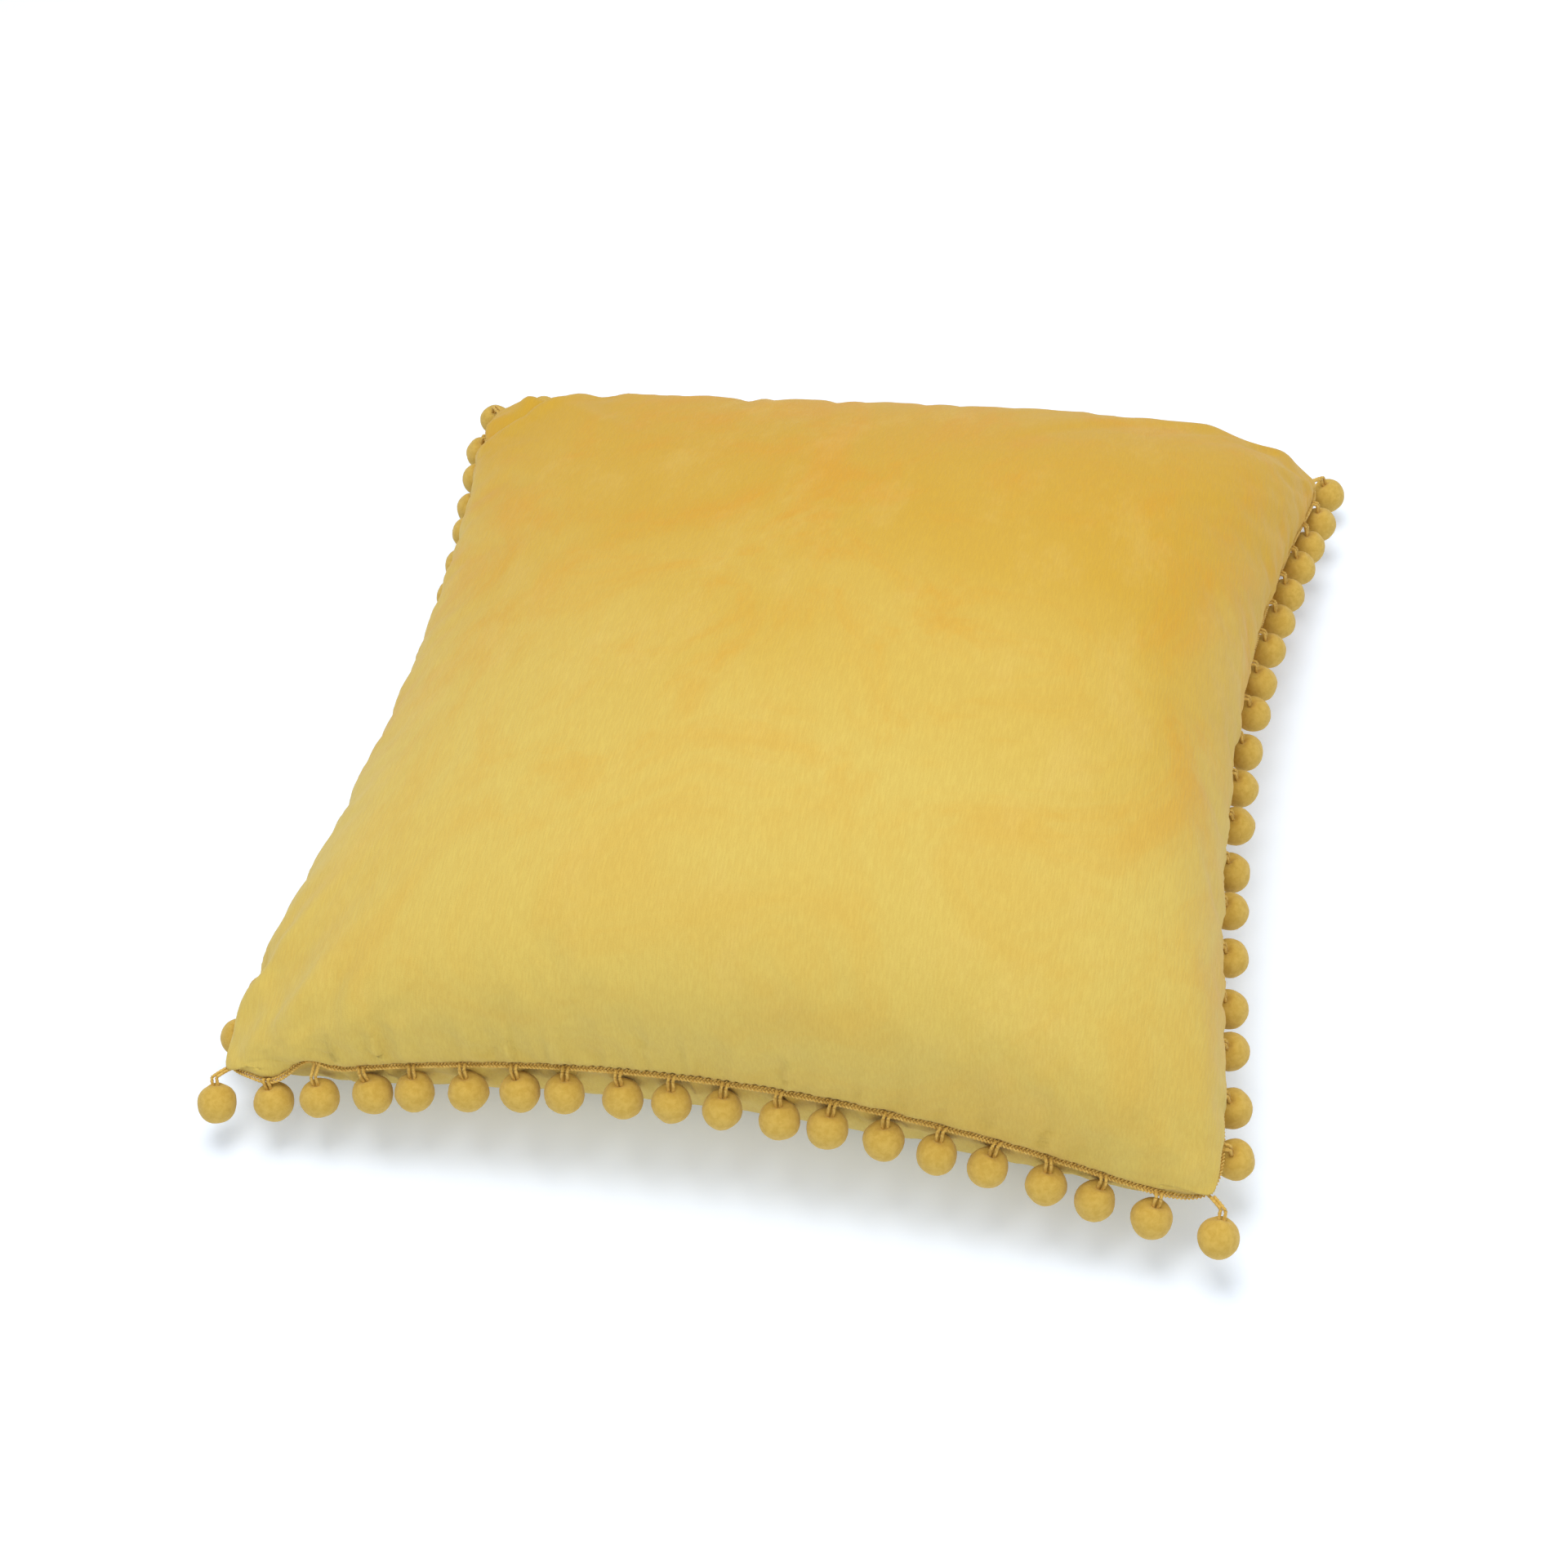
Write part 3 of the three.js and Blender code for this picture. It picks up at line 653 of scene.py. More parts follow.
def finish_cover(obj, tree):
    """Swells the cloth beside the braid, presses gathers and folds in, and keeps it above the floor."""
    points = coordinates(obj.data)
    normal = vertex_normals(obj.data)
    distance = distances(points, tree)
    near = distance / LIP_AT
    away = zip_nearness(points)
    swell = LIP * near * np.exp(1 - near) * (1 - away)
    upper = np.zeros(len(points), bool)
    for polygon in obj.data.polygons:
        if polygon.material_index == 0:
            upper[list(polygon.vertices)] = True
    nearest = np.array([tree.find(p)[1] for p in points])
    count = nearest.max() + 1
    to_tip = np.abs((nearest + count / 8) % (count / 4) - count / 8) / (count / 4)
    between = np.clip(to_tip / 0.12, 0, 1)
    between *= np.clip(1.35 - 1.9 * distance / tip_distances(points), 0, 1)
    edge_of = (nearest * 4 // count).astype(int)
    over = np.array(list(OVERHANG.values()))[edge_of] * MM * between
    depth = np.array(list(GATHER.values()))[edge_of] * MM * between
    high = distance / OVERHANG_AT
    swell += upper * over * (high * np.exp(1 - high)) ** 2
    along_seam = nearest[:, None] * np.array([[1.0, 0.0, 0.0]]) * (4 * 2 * HALF_WIDTH / count)
    gather = wobble(along_seam, 11 * MM, np.random.default_rng(11), waves=14)
    gather = 0.6 * gather - np.maximum(1 - 2.2 * np.abs(gather - 0.2), 0) ** 2
    reach = np.maximum(distance - GATHER_FROM, 0) / GATHER_REACH
    inside = np.clip((distance - 2 * MM) / (5 * MM), 0, 1)
    swell += depth * gather * inside * np.exp(-(reach**1.5)) * (1 - away)
    for edge, t, turn, length, depth, width in FOLDS:
        foot = edge_points(edge, np.array([t]))[0]
        inward = -edge_outward(edge)
        angle = math.radians(turn)
        c, s = math.cos(angle), math.sin(angle)
        way = np.array([inward[0] * c - inward[1] * s, inward[0] * s + inward[1] * c, 0])
        offset = (points - foot) * (1, 1, 0)
        along = offset @ way
        across = np.linalg.norm(offset - along[:, None] * way, axis=1) / (width * MM)
        run = along / (length * MM)
        shape = np.clip(1 - run, 0, 1) ** 1.2 * np.clip((run + 0.1) / 0.15, 0, 1)
        valley = np.exp(-(across**2)) - 0.35 * np.exp(-(((across - 1.9) / 0.8) ** 2))
        swell -= upper * depth * MM * shape * valley * np.clip(distance / (6 * MM), 0.1, 1)
    lower = [tuple(p.vertices) for p in obj.data.polygons if p.material_index == 1]
    below = BVHTree.FromPolygons(points.tolist(), lower)
    room = np.array([below.find_nearest(p)[3] if above else 1 for p, above in zip(points, upper)])
    swell = np.maximum(swell, -0.4 * np.maximum(room - 3 * CLOTH, 0))
    swell *= np.clip((tip_distances(points) - 6 * MM) / TIP_CALM, 0.45, 1)
    points += normal * swell[:, None]
    local = np.abs(zip_local(points, ZIP_MIDDLE))
    ends = np.exp(-(((local[:, 0] - SLIT_HALF[0] - 4 * MM) / (8 * MM)) ** 4) - (local[:, 1] / (6 * MM)) ** 4)
    points -= ZIP_OUT * (DIP * ends * (1 - upper))[:, None]
    calm = np.clip(1.5 - tip_distances(points) / TIP_CALM, 0, 1)
    calm *= np.clip((distance - 1.5 * MM) / (6 * MM), 0, 1)
    points += (lowpass(points, mesh_edges(obj.data), CALM_ROUNDS) - points) * calm[:, None]
    points[:, 2] = np.maximum(points[:, 2], FLOOR_GAP)
    obj.data.vertices.foreach_set("co", points.ravel())
    obj.data.update()


def panel_object(name, whole, material_index, tree):
    """One panel of the cover, with the cloth's thickness inside it."""
    bare = bmesh.new()
    bare.from_mesh(whole.data)
    others = [face for face in bare.faces if face.material_index != material_index]
    bmesh.ops.delete(bare, geom=others, context="FACES")
    mesh = bpy.data.meshes.new(name)
    bare.to_mesh(mesh)
    bare.free()
    obj = bpy.data.objects.new(name, mesh)
    bpy.context.scene.collection.objects.link(obj)
    mesh.materials.clear()
    mesh.materials.append(VELVET)
    mesh.polygons.foreach_set("material_index", [0] * len(mesh.polygons))
    mesh.shade_smooth()
    points = coordinates(mesh)
    room = np.minimum(distances(points, tree) / THIN_WITHIN[0], tip_distances(points) / THIN_WITHIN[1])
    group = obj.vertex_groups.new(name="room")
    for k, weight in enumerate(np.clip(room, 0.08, 1)):
        group.add([k], float(weight), "REPLACE")
    thick = obj.modifiers.new("thick", "SOLIDIFY")
    thick.thickness = CLOTH
    thick.offset = -1
    thick.vertex_group = group.name
    apply_modifiers(obj)
    obj.vertex_groups.clear()
    return obj


def cut_slit(panel):
    """Cuts the slit for the zip out of the back panel."""
    half = np.array([*SLIT_HALF, 6 * MM])
    corner = np.array([[x, y, z] for x in (-1, 1) for y in (-1, 1) for z in (-1, 1)]) * half
    verts = zip_world(corner, ZIP_MIDDLE + ZIP_OUT * ZIP_SINK)
    faces = [(0, 1, 3, 2), (4, 6, 7, 5), (0, 4, 5, 1), (2, 3, 7, 6), (0, 2, 6, 4), (1, 5, 7, 3)]
    knife = mesh_object("knife", verts, faces, VELVET, smooth=False)
    cut = panel.modifiers.new("slit", "BOOLEAN")
    cut.operation = "DIFFERENCE"
    cut.solver = "EXACT"
    cut.object = knife
    apply_modifiers(panel)
    bpy.data.objects.remove(knife)


def cover():
    obj, seam = cover_mesh()
    tree = tree_of(seam)
    fill_cover(obj, tree)
    finer = obj.modifiers.new("finer", "SUBSURF")
    finer.levels = finer.render_levels = 1
    apply_modifiers(obj)
    finish_cover(obj, tree)
    top = panel_object("cover_top", obj, 0, tree)
    back = panel_object("cover_back", obj, 1, tree)
    bpy.data.objects.remove(obj)
    cut_slit(back)
    for panel, node in ((top, "cover_top_panel"), (back, "cover_back_panel")):
        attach(panel, "cushion")
        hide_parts(node)
    return seam


# ---- Zip frame, from the CAD pieces ----

JOINTS = {joint["name"]: joint for joint in frame["joints"]}
ZIP_ALONG = np.array(JOINTS["zip_slide"]["axis"], float)
ZIP_ACROSS = -np.array(JOINTS["zip_puller_turn"]["axis"], float)
ZIP_OUT = np.cross(ZIP_ALONG, ZIP_ACROSS)
ZIP_SINK = 2.3 * MM            # outer face of the tapes below the outer face of the panel
SLIT_HALF = np.array([155, 4.5]) * MM


def node_points(name):
    return coordinates(frame["nodes"][name].data)


def zip_local(points, origin):
    offset = points - origin
    return np.stack([offset @ ZIP_ALONG, offset @ ZIP_ACROSS, offset @ ZIP_OUT], -1)


def zip_world(local, origin):
    return origin + local[..., :1] * ZIP_ALONG + local[..., 1:2] * ZIP_ACROSS + local[..., 2:] * ZIP_OUT


COILS = np.concatenate([node_points("zip_coil_upper"), node_points("zip_coil_lower")])
ZIP_MIDDLE = COILS.mean(0)
SEAM = cover()

# ---- Braid and pompoms ----

BRAID_WIDTH = 0.9 * MM        # half of the plait's width, to the middle of its outer yarn
BRAID_DEPTH = 0.5 * MM
BRAID_YARN = 0.46 * MM
BRAID_PITCH = 4.4 * MM
BRAID_TILT = math.radians(18)
TIP_TUCK = 2.2 * MM            # the braid lies closer in at the tips, where the cloth is drawn in
TIP_TUCK_WITHIN = 15 * MM
LOOP_YARN = 0.68 * MM
LOOP_SPREAD = 0.95 * MM        # each strand from the middle of its loop
LOOP_HELD = 2.6 * MM           # how far each strand goes into its ball
POMPOMS_PER_EDGE = 18
LEAN_STEP = 2.4                # from one pompom's lean to the next, in radians of a sine
LEAN_START = 0.8
# How far the pompoms of each edge and corner droop below level, in degrees.
DROOP = {"front": 74, "right": 78, "back": 62, "left": 79}
CORNER_DROOP = {"front_left": 48, "front_right": 45, "back_right": 70, "back_left": 80}


def evenly(points, step, closed=False):
    """The curve through points, sampled evenly."""
    if closed:
        points = np.concatenate([points, points[:1]])
    along = arc_lengths(points)
    count = max(2, round(along[-1] / step))
    wanted = np.linspace(0, along[-1], count, endpoint=not closed)
    return np.stack([np.interp(wanted, along, points[:, k]) for k in range(3)], -1), along[-1]


def smoothed(points, rounds):
    for _ in range(rounds):
        points = (np.roll(points, 1, 0) + 2 * points + np.roll(points, -1, 0)) / 4
    return points


def closed_yarn(points, side, normal, radius, sides=6):
    """A tube along a closed curve with its own frame."""
    angle = np.arange(sides) * 2 * math.pi / sides
    ring = points[:, None] + radius * (
        side[:, None] * np.cos(angle)[None, :, None] + normal[:, None] * np.sin(angle)[None, :, None]
    )
    count = len(points)
    faces = []
    for j in range(count):
        for i in range(sides):
            a, b = j * sides + i, j * sides + (i + 1) % sides
            c, d = (j + 1) % count * sides + i, (j + 1) % count * sides + (i + 1) % sides
            faces.append([a, b, d, c])
    return ring.reshape(-1, 3), faces


def braid():
    """Three yarns plaited flat all round the seam."""
    path, length = evenly(SEAM, 0.36 * MM, closed=True)
    path = smoothed(path, 12)
    tangent = np.roll(path, -1, 0) - np.roll(path, 1, 0)
    tangent /= np.linalg.norm(tangent, axis=1)[:, None]
    outward = np.cross(tangent, UP)
    outward /= np.linalg.norm(outward, axis=1)[:, None]
    above = np.cross(outward, tangent)
    wide = outward * math.cos(BRAID_TILT) - above * math.sin(BRAID_TILT)
    deep = outward * math.sin(BRAID_TILT) + above * math.cos(BRAID_TILT)
    turns = round(length / BRAID_PITCH)
    phase = np.arange(len(path)) / len(path) * turns * 2 * math.pi
    out = BRAID_OUT - TIP_TUCK * np.exp(-((tip_distances(path) / TIP_TUCK_WITHIN) ** 2))
    parts = []
    for strand in range(3):
        turn = phase + strand * 2 * math.pi / 3
        place = path + wide * (out + BRAID_WIDTH * np.sin(turn))[:, None]
        place += deep * (BRAID_DEPTH * np.sin(2 * turn))[:, None]
        parts.append(closed_yarn(place, wide, deep, BRAID_YARN))
    verts, faces = joined(parts)
    return mesh_object("seam_braid", verts, faces, BRAID)


def ball(rng, across=32, down=22):
    """A felted ball around the origin, flattened a little, with the loop's dimple at +Y."""
    polar = np.linspace(0, math.pi, down + 1)[1:-1] ** 1.08
    polar = polar * (math.pi * down / (down + 1)) / polar[-1]
    turn = np.arange(across) * 2 * math.pi / across
    grid_polar, grid_turn = np.meshgrid(polar, turn, indexing="ij")
    unit = np.stack([
        np.sin(grid_polar) * np.cos(grid_turn),
        np.cos(grid_polar),
        np.sin(grid_polar) * np.sin(grid_turn),
    ], -1).reshape(-1, 3)
    unit = np.concatenate([[[0, 1, 0]], unit, [[0, -1, 0]]])
    size = np.array([POMPOM_RADIUS, POMPOM_HALF_LENGTH, POMPOM_RADIUS]) * rng.uniform(0.965, 1.015, 3)
    verts = unit * size
    angle = np.arccos(np.clip(unit[:, 1], -1, 1))
    azimuth = np.arctan2(unit[:, 2], unit[:, 0])
    lumps = 0.26 * wobble(verts, 9 * MM, rng) + 0.06 * wobble(verts, 2.4 * MM, rng)
    dimple = -2.3 * np.exp(-((angle / 0.3) ** 2))
    crease = -0.5 * np.exp(-(((angle - 0.42) / 0.2) ** 2)) * np.cos(2 * azimuth + rng.uniform(-0.5, 0.5))
    verts += unit * ((lumps + dimple + crease) * MM)[:, None]
    faces = []
    last = len(verts) - 1
    for i in range(across):
        following = (i + 1) % across
        faces.append([0, 1 + following, 1 + i])
        for j in range(down - 2):
            a = 1 + j * across
            faces.append([a + i, a + following, a + across + following, a + across + i])
        a = 1 + (down - 2) * across
        faces.append([a + i, a + following, last])
    return verts, faces


def strand(start, end, sag, steps=11):
    """One short length of two-ply yarn from start to end, bowed by sag."""
    t = np.linspace(0, 1, steps)[:, None]
    points = start + (end - start) * t + np.asarray(sag) * (4 * t * (1 - t))
    along = end - start
    steep = abs(along[2]) >= 0.8 * np.linalg.norm(along)
    reference = np.array([1.0, 0.2, 0.1]) if steep else np.array([0.3, 0.2, 1.0])
    return yarn(points, LOOP_YARN, sides=8, lobes=2, lay=3.1 * MM, depth=0.16, reference=reference)


def run_frame(joint):
    along = -np.array(joint["axis"], float)
    inward = np.cross(UP, along)
    inward /= np.linalg.norm(inward)
    return np.array(joint["pos_m"], float), along, inward, np.cross(along, inward)


def hang(body, places, droop, first, rng, seam_tree):
    """The pompoms of one run on their loops, and the loops' roots, which stay on the braid."""
    joint = JOINTS[body + "_swing"]
    origin, along, inward, above = run_frame(joint)
    axes = np.stack([along, inward, above])
    moving, yarns, roots = [], [], []
    angle = math.radians(droop)
    for k, place in enumerate(places):
        lean = SIDE_LEAN * math.sin(LEAN_STEP * (first + k) + LEAN_START)
        tilt = np.array([
            [math.cos(lean), -math.sin(lean), 0],
            [math.cos(angle) * math.sin(lean), math.cos(angle) * math.cos(lean), -math.sin(angle)],
            [math.sin(angle) * math.sin(lean), math.sin(angle) * math.cos(lean), math.cos(angle)],
        ])
        hook = origin + along * place
        verts, faces = ball(rng)
        verts = (verts + np.array([0, -LOOP_LENGTH, 0])) @ tilt.T @ axes + hook
        moving.append((verts, faces))
        nearest = SEAM[seam_tree.find(hook)[1]]
        way = hook - nearest
        way /= np.linalg.norm(way)
        for side in (-1, 1):
            top = np.array([side * LOOP_SPREAD, 0.0, 0.0])
            reach = -LOOP_LENGTH + POMPOM_HALF_LENGTH - LOOP_HELD
            foot = np.array([side * LOOP_SPREAD * 0.8, reach, 0.0]) @ tilt.T
            bow = np.array([side * 0.25 * MM, 0, 0]) @ axes
            yarns.append(strand(top @ axes + hook, foot @ axes + hook, bow))
            start = nearest + way * 1.2 * MM + along * side * LOOP_SPREAD * 1.25
            roots.append(strand(start, top @ axes + hook, UP * 0.35 * MM))
    verts, faces = joined(moving + yarns)
    obj = mesh_object(body.replace("pompom", "pompoms", 1), verts, faces, FELT)
    obj.data.materials.append(LOOP)
    felt_faces = sum(len(part[1]) for part in moving)
    index = [0] * felt_faces + [1] * (len(faces) - felt_faces)
    obj.data.polygons.foreach_set("material_index", index)
    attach(obj, body)
    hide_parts(body)
    return roots


def run_places(edge, first, origin, along):
    """Distances along the run of its pompoms, which divide the seam evenly."""
    fine = edge_points(edge, np.linspace(0, 1, 401))
    reach = arc_lengths(fine)
    wanted = (first + np.arange(POMPOMS_PER_RUN)) / (POMPOMS_PER_EDGE + 1) * reach[-1]
    points = np.stack([np.interp(wanted, reach, fine[:, k]) for k in range(3)], -1)
    return (points - origin) @ along


def fringe():
    rng = np.random.default_rng(21)
    seam_tree = tree_of(SEAM)
    roots = []
    for edge in EDGES:
        for run in range(POMPOMS_PER_EDGE // POMPOMS_PER_RUN):
            body = f"pompom_run_{edge}_{run + 1}"
            origin, along, _, _ = run_frame(JOINTS[body + "_swing"])
            first = run * POMPOMS_PER_RUN + 1
            places = run_places(edge, first, origin, along)
            roots += hang(body, places, DROOP[edge], first, rng, seam_tree)
    for corner, droop in CORNER_DROOP.items():
        roots += hang(f"pompom_corner_{corner}", [0.0], droop, 0, rng, seam_tree)
    plait = braid()
    verts, faces = joined(roots)
    stems = mesh_object("loop_roots", verts, faces, LOOP)
    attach(plait, "cushion")
    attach(stems, "cushion")
    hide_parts("braid_front", "braid_right", "braid_back", "braid_left")


fringe()

# ---- Zip ----


def zip_box(name):
    """Middle and half size of a CAD piece in the zip's frame."""
    local = zip_local(node_points(name), ZIP_MIDDLE)
    return (local.min(0) + local.max(0)) / 2, (local.max(0) - local.min(0)) / 2


def coil(side):
    """Nylon wire wound along one edge of the zip, with the cord inside it."""
    node = f"zip_coil_{side}"
    middle, half = zip_box(node)
    wire = 0.32 * MM
    pitch = 1.25 * MM
    turns = int(2 * half[0] / pitch)
    t = np.linspace(0, turns, turns * 10 + 1)
    angle = t * 2 * math.pi
    points = np.stack([
        middle[0] - half[0] + wire + t / turns * 2 * (half[0] - wire),
        middle[1] + (half[1] - wire) * np.cos(angle),
        middle[2] + (half[2] - wire) * np.sin(angle),
    ], -1)
    core = np.stack([
        np.linspace(-1, 1, 40) * half[0] * 0.98 + middle[0],
        np.full(40, middle[1]),
        np.full(40, middle[2]),
    ], -1)
    parts = [
        yarn(zip_world(points, ZIP_MIDDLE), wire, sides=5, reference=ZIP_ALONG + 0.01),
        yarn(zip_world(core, ZIP_MIDDLE), half[2] - 2 * wire, sides=8, reference=ZIP_OUT),
    ]
    verts, faces = joined(parts)
    obj = mesh_object(f"zip_teeth_{side}", verts, faces, NYLON)
    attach(obj, "cushion")
    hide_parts(node)


def tape(side):
    """Woven tape with ribs along it, a little uneven."""
    node = f"zip_tape_{side}"
    middle, half = zip_box(node)
    rng = np.random.default_rng(5 if side == "upper" else 6)
    across, along = 26, 160
    lengthwise = np.linspace(-1, 1, along + 1) * half[0]
    crosswise = np.linspace(-1, 1, across + 1) * half[1]
    x, y = np.meshgrid(lengthwise, crosswise, indexing="ij")
    ribs = 0.07 * MM * np.cos(y / half[1] * 11 * math.pi)
    wave = 0.10 * MM * wobble(np.stack([x, y, 0 * x], -1).reshape(-1, 3), 30 * MM, rng).reshape(x.shape)
    level = half[2] - 0.2 * MM
    above = np.stack([x, y, level + ribs + wave], -1) + middle
    below = np.stack([x, y, -level + wave], -1) + middle
    verts, faces = sheet_pair(zip_world(above, ZIP_MIDDLE), zip_world(below, ZIP_MIDDLE))
    obj = mesh_object(f"zip_band_{side}", verts, faces, TWILL)
    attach(obj, "cushion")
    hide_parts(node)


def sheet_pair(above, below):
    """A closed (verts, faces) from two equal grids of points with their outlines joined."""
    rows, row = above.shape[:2]
    under = rows * row
    faces = []
    for j in range(rows - 1):
        for i in range(row - 1):
            k = j * row + i
            faces.append([k, k + 1, k + row + 1, k + row])
            faces.append([under + k, under + k + row, under + k + row + 1, under + k + 1])
    rim = outline(rows, row)
    for k, following in zip(rim, rim[1:] + rim[:1]):
        faces.append([under + k, under + following, following, k])
    return np.concatenate([above.reshape(-1, 3), below.reshape(-1, 3)]), faces


def softened(node, name, body, width, segments=3):
    """A metal piece: the CAD shape with its edges rounded."""
    obj = bpy.data.objects.new(name, frame["nodes"][node].data.copy())
    bpy.context.scene.collection.objects.link(obj)
    obj.data.materials.clear()
    obj.data.materials.append(BRASS)
    weld = obj.modifiers.new("weld", "WELD")
    weld.merge_threshold = 0.02 * MM
    bevel = obj.modifiers.new("bevel", "BEVEL")
    bevel.width = width
    bevel.segments = segments
    bevel.limit_method = "ANGLE"
    apply_modifiers(obj)
    obj.data.shade_smooth()
    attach(obj, body)
    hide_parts(node)
    return obj


def stitches(name):
    """Two rows of topstitching that hold the tapes to the panel."""
    panel = bpy.data.objects["cover_back"].data
    cloth = BVHTree.FromPolygons(coordinates(panel).tolist(), [tuple(p.vertices) for p in panel.polygons])
    parts = []
    pitch, length = 3.4 * MM, 2.5 * MM
    lift = 20 * MM
    for side in (-1, 1):
        for x in np.arange(-SLIT_HALF[0] - 3 * MM, SLIT_HALF[0] + 3 * MM, pitch):
            t = np.linspace(0, 1, 7)
            row = np.full(7, side * (SLIT_HALF[1] + 2.6 * MM))
            start = zip_world(np.stack([x + t * length, row, np.full(7, lift)], -1), ZIP_MIDDLE)
            fall = np.array([cloth.ray_cast(Vector(p), Vector(-ZIP_OUT))[3] or lift for p in start])
            height = lift - fall + (0.36 * np.sin(t * math.pi) - 0.14) * MM
            local = np.stack([x + t * length, row, height], -1)
            parts.append(yarn(zip_world(local, ZIP_MIDDLE), 0.24 * MM, sides=6, reference=ZIP_OUT))
    verts, faces = joined(parts)
    obj = mesh_object(name, verts, faces, LOOP)
    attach(obj, "cushion")


def zip_pieces():
    for side in ("upper", "lower"):
        coil(side)
        tape(side)
    for end in ("top", "bottom"):
        softened(f"zip_{end}_stop", f"zip_stop_{end}", "cushion", 0.3 * MM)
    softened("zip_slider", "zip_slider_body", "zip_slider", 0.22 * MM)
    softened("zip_puller", "zip_puller_tab", "zip_puller", 0.25 * MM)
    stitches("zip_topstitching")


zip_pieces()

# ---- Insert and label ----


def insert():
    n = 64
    rng = np.random.default_rng(3)
    for name, inset, clearance, size, material, nodes, slot in (
        (
            "insert_case", 14 * MM, 7 * MM, 1.0 * MM, COTTON,
            ("inner_case_top", "inner_case_bottom"), "inner_case",
        ),
        ("insert_filling", 16 * MM, 9 * MM, 1.6 * MM, FIBRE, ("fibre_fill",), "fibre_fill"),
    ):
        layers = []
        for upper in (True, False):
            u, v = panel_grid(n, upper)
            points = layer(u, v, upper, inset=inset, clearance=clearance, ear=45 * MM).reshape(-1, 3)
            inner = (1 - np.abs(u)).reshape(-1) * (1 - np.abs(v)).reshape(-1)
            fade = np.clip(inner * 12, 0, 1)
            points[:, 2] += (size * fade * wobble(points, 40 * MM, rng) - size * fade) * (1 if upper else -1)
            layers.append(points.reshape(n + 1, n + 1, 3))
        verts, faces = sheet_pair(*layers)
        obj = mesh_object(name, verts, faces, material)
        weld = obj.modifiers.new("weld", "WELD")
        weld.merge_threshold = 0.01 * MM
        apply_modifiers(obj)
        obj.data.shade_smooth()
        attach(obj, "cushion")
        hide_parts(*nodes)


def label():
    """A blank ribbon folded once, sewn in with the seam."""
    low, high = (np.array(p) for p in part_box("care_label"))
    across, thick = 24, 0.07 * MM
    turn = np.linspace(0, math.pi, 9)
    radius = (high[1] - low[1]) / 2 - thick
    middle = (low[1] + high[1]) / 2
    top = high[2] - radius - thick
    line = [(middle - radius, low[2])]
    line += [(middle - radius * math.cos(a), top + radius * math.sin(a)) for a in turn]
    line.append((middle + radius, low[2]))
    line = np.array(line)
    x = np.linspace(low[0], high[0], across)
    grids = []
    for offset in (thick, -thick):
        way = np.gradient(line, axis=0)
        way /= np.linalg.norm(way, axis=1)[:, None]
        place = line + np.stack([-way[:, 1], way[:, 0]], -1) * offset
        grids.append(np.stack([np.stack([np.full(len(line), v), place[:, 0], place[:, 1]], -1) for v in x]))
    verts, faces = sheet_pair(*grids)
    obj = mesh_object("care_ribbon", verts, faces, SATIN)
    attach(obj, "cushion")
    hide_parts("care_label")


insert()
label()

# ---- Camera, light and floor ----

CAMERA_TURN = (16.05, 47.61, -5.84)   # yaw, pitch and roll in degrees
CAMERA_DISTANCE = 1.112
CAMERA_LENS = 56.07
CAMERA_SHIFT = (-0.0147, -0.0338)
WORLD_COLOUR = (0.93, 0.96, 1.0, 1)
WORLD_STRENGTH = 0.68
FLOOR_COLOUR = (0.85, 0.90, 0.97)
FLOOR_GLOW = (0.65, 0.79, 1.0, 1)
FLOOR_GLOW_STRENGTH = 0.17
FLOOR_HALF = 6
# name, place, size and power
LAMPS = (
    ("key", (-0.1, 0.15, 1.95), 1.1, 20.5),
    ("fill", (0.9, -1.3, 1.3), 1.4, 6),
)


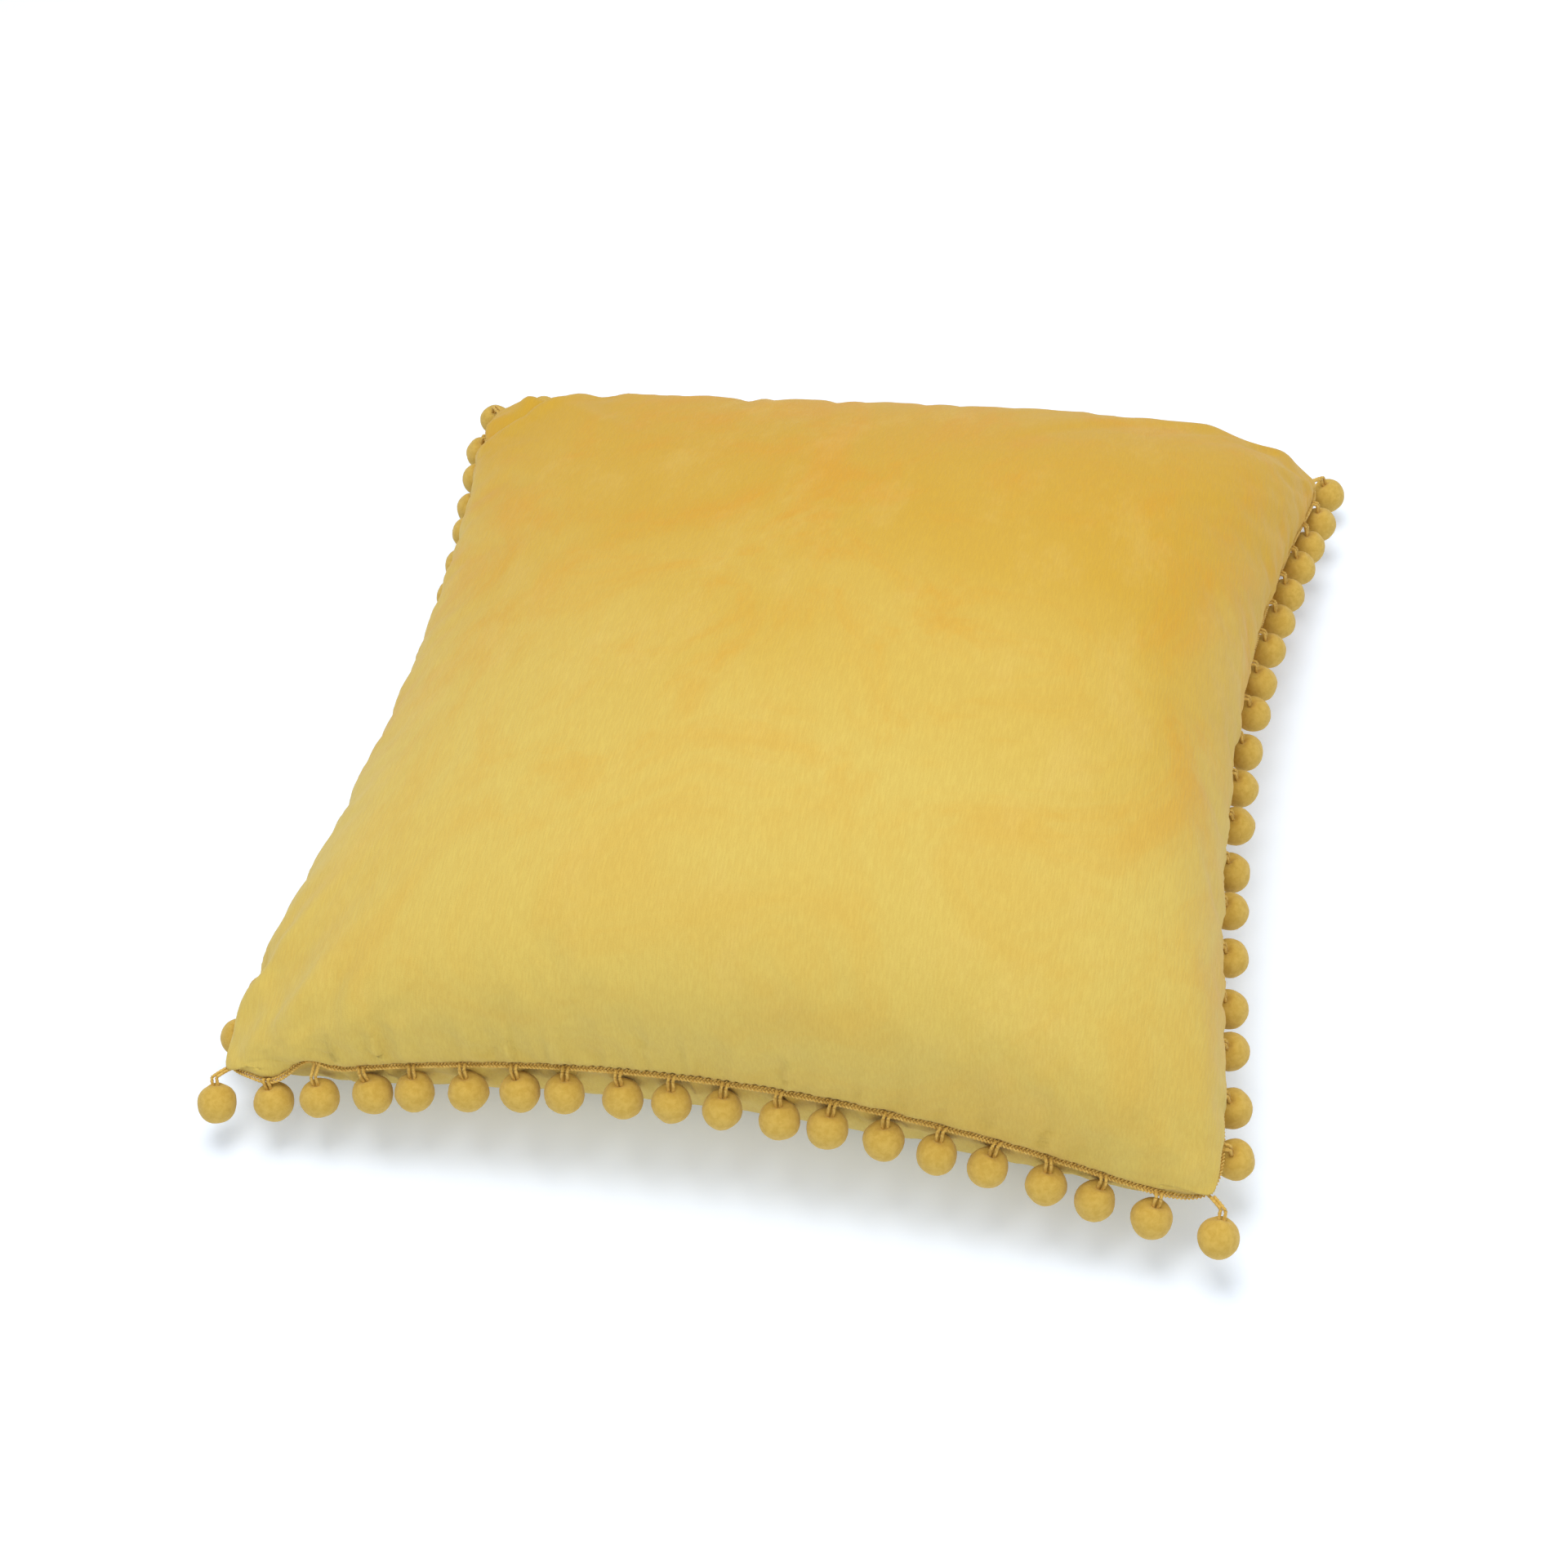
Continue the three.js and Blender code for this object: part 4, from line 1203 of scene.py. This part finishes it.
def studio():
    yaw, pitch, roll = (math.radians(a) for a in CAMERA_TURN)
    forward = np.array([-math.sin(yaw) * math.cos(pitch), math.cos(yaw) * math.cos(pitch), -math.sin(pitch)])
    right = np.cross(forward, UP)
    right /= np.linalg.norm(right)
    above = np.cross(right, forward)
    x = math.cos(roll) * right + math.sin(roll) * above
    y = -math.sin(roll) * right + math.cos(roll) * above
    target = np.array([0, 0, 0.04]) + SHIFT * (1, 1, 0)
    camera = bpy.data.objects.new("camera", bpy.data.cameras.new("camera"))
    camera.data.sensor_width = 36
    camera.data.lens = CAMERA_LENS
    camera.data.shift_x, camera.data.shift_y = CAMERA_SHIFT
    place = target - forward * CAMERA_DISTANCE
    rows = [[x[i], y[i], -forward[i], place[i]] for i in range(3)] + [[0, 0, 0, 1]]
    camera.matrix_world = Matrix(rows)
    bpy.context.scene.collection.objects.link(camera)
    bpy.context.scene.camera = camera
    bpy.context.scene.view_settings.view_transform = "Standard"

    world = bpy.data.worlds.new("studio")
    world.use_nodes = True
    world.node_tree.nodes["Background"].inputs["Color"].default_value = WORLD_COLOUR
    world.node_tree.nodes["Background"].inputs["Strength"].default_value = WORLD_STRENGTH
    bpy.context.scene.world = world

    for name, place, size, power in LAMPS:
        light = bpy.data.lights.new(name, "AREA")
        light.size = size
        light.energy = power
        lamp = bpy.data.objects.new(name, light)
        lamp.location = place
        lamp.rotation_euler = (Vector((0, 0, 0.05)) - Vector(place)).to_track_quat("-Z", "Y").to_euler()
        bpy.context.scene.collection.objects.link(lamp)

    floor_material = Nodes("floor", FLOOR_COLOUR, 0.9)
    floor_material.set(
        floor_material.shader, emission_color=FLOOR_GLOW, emission_strength=FLOOR_GLOW_STRENGTH
    )
    grain = floor_material.noise(900, 2)
    floor_material.normal(floor_material.bump(grain, 0.02, 0.0002))
    half = FLOOR_HALF
    corners = [(-half, -half, 0), (half, -half, 0), (half, half, 0), (-half, half, 0)]
    floor = mesh_object("floor", corners, [(0, 1, 2, 3)], floor_material.material, smooth=False)


studio()
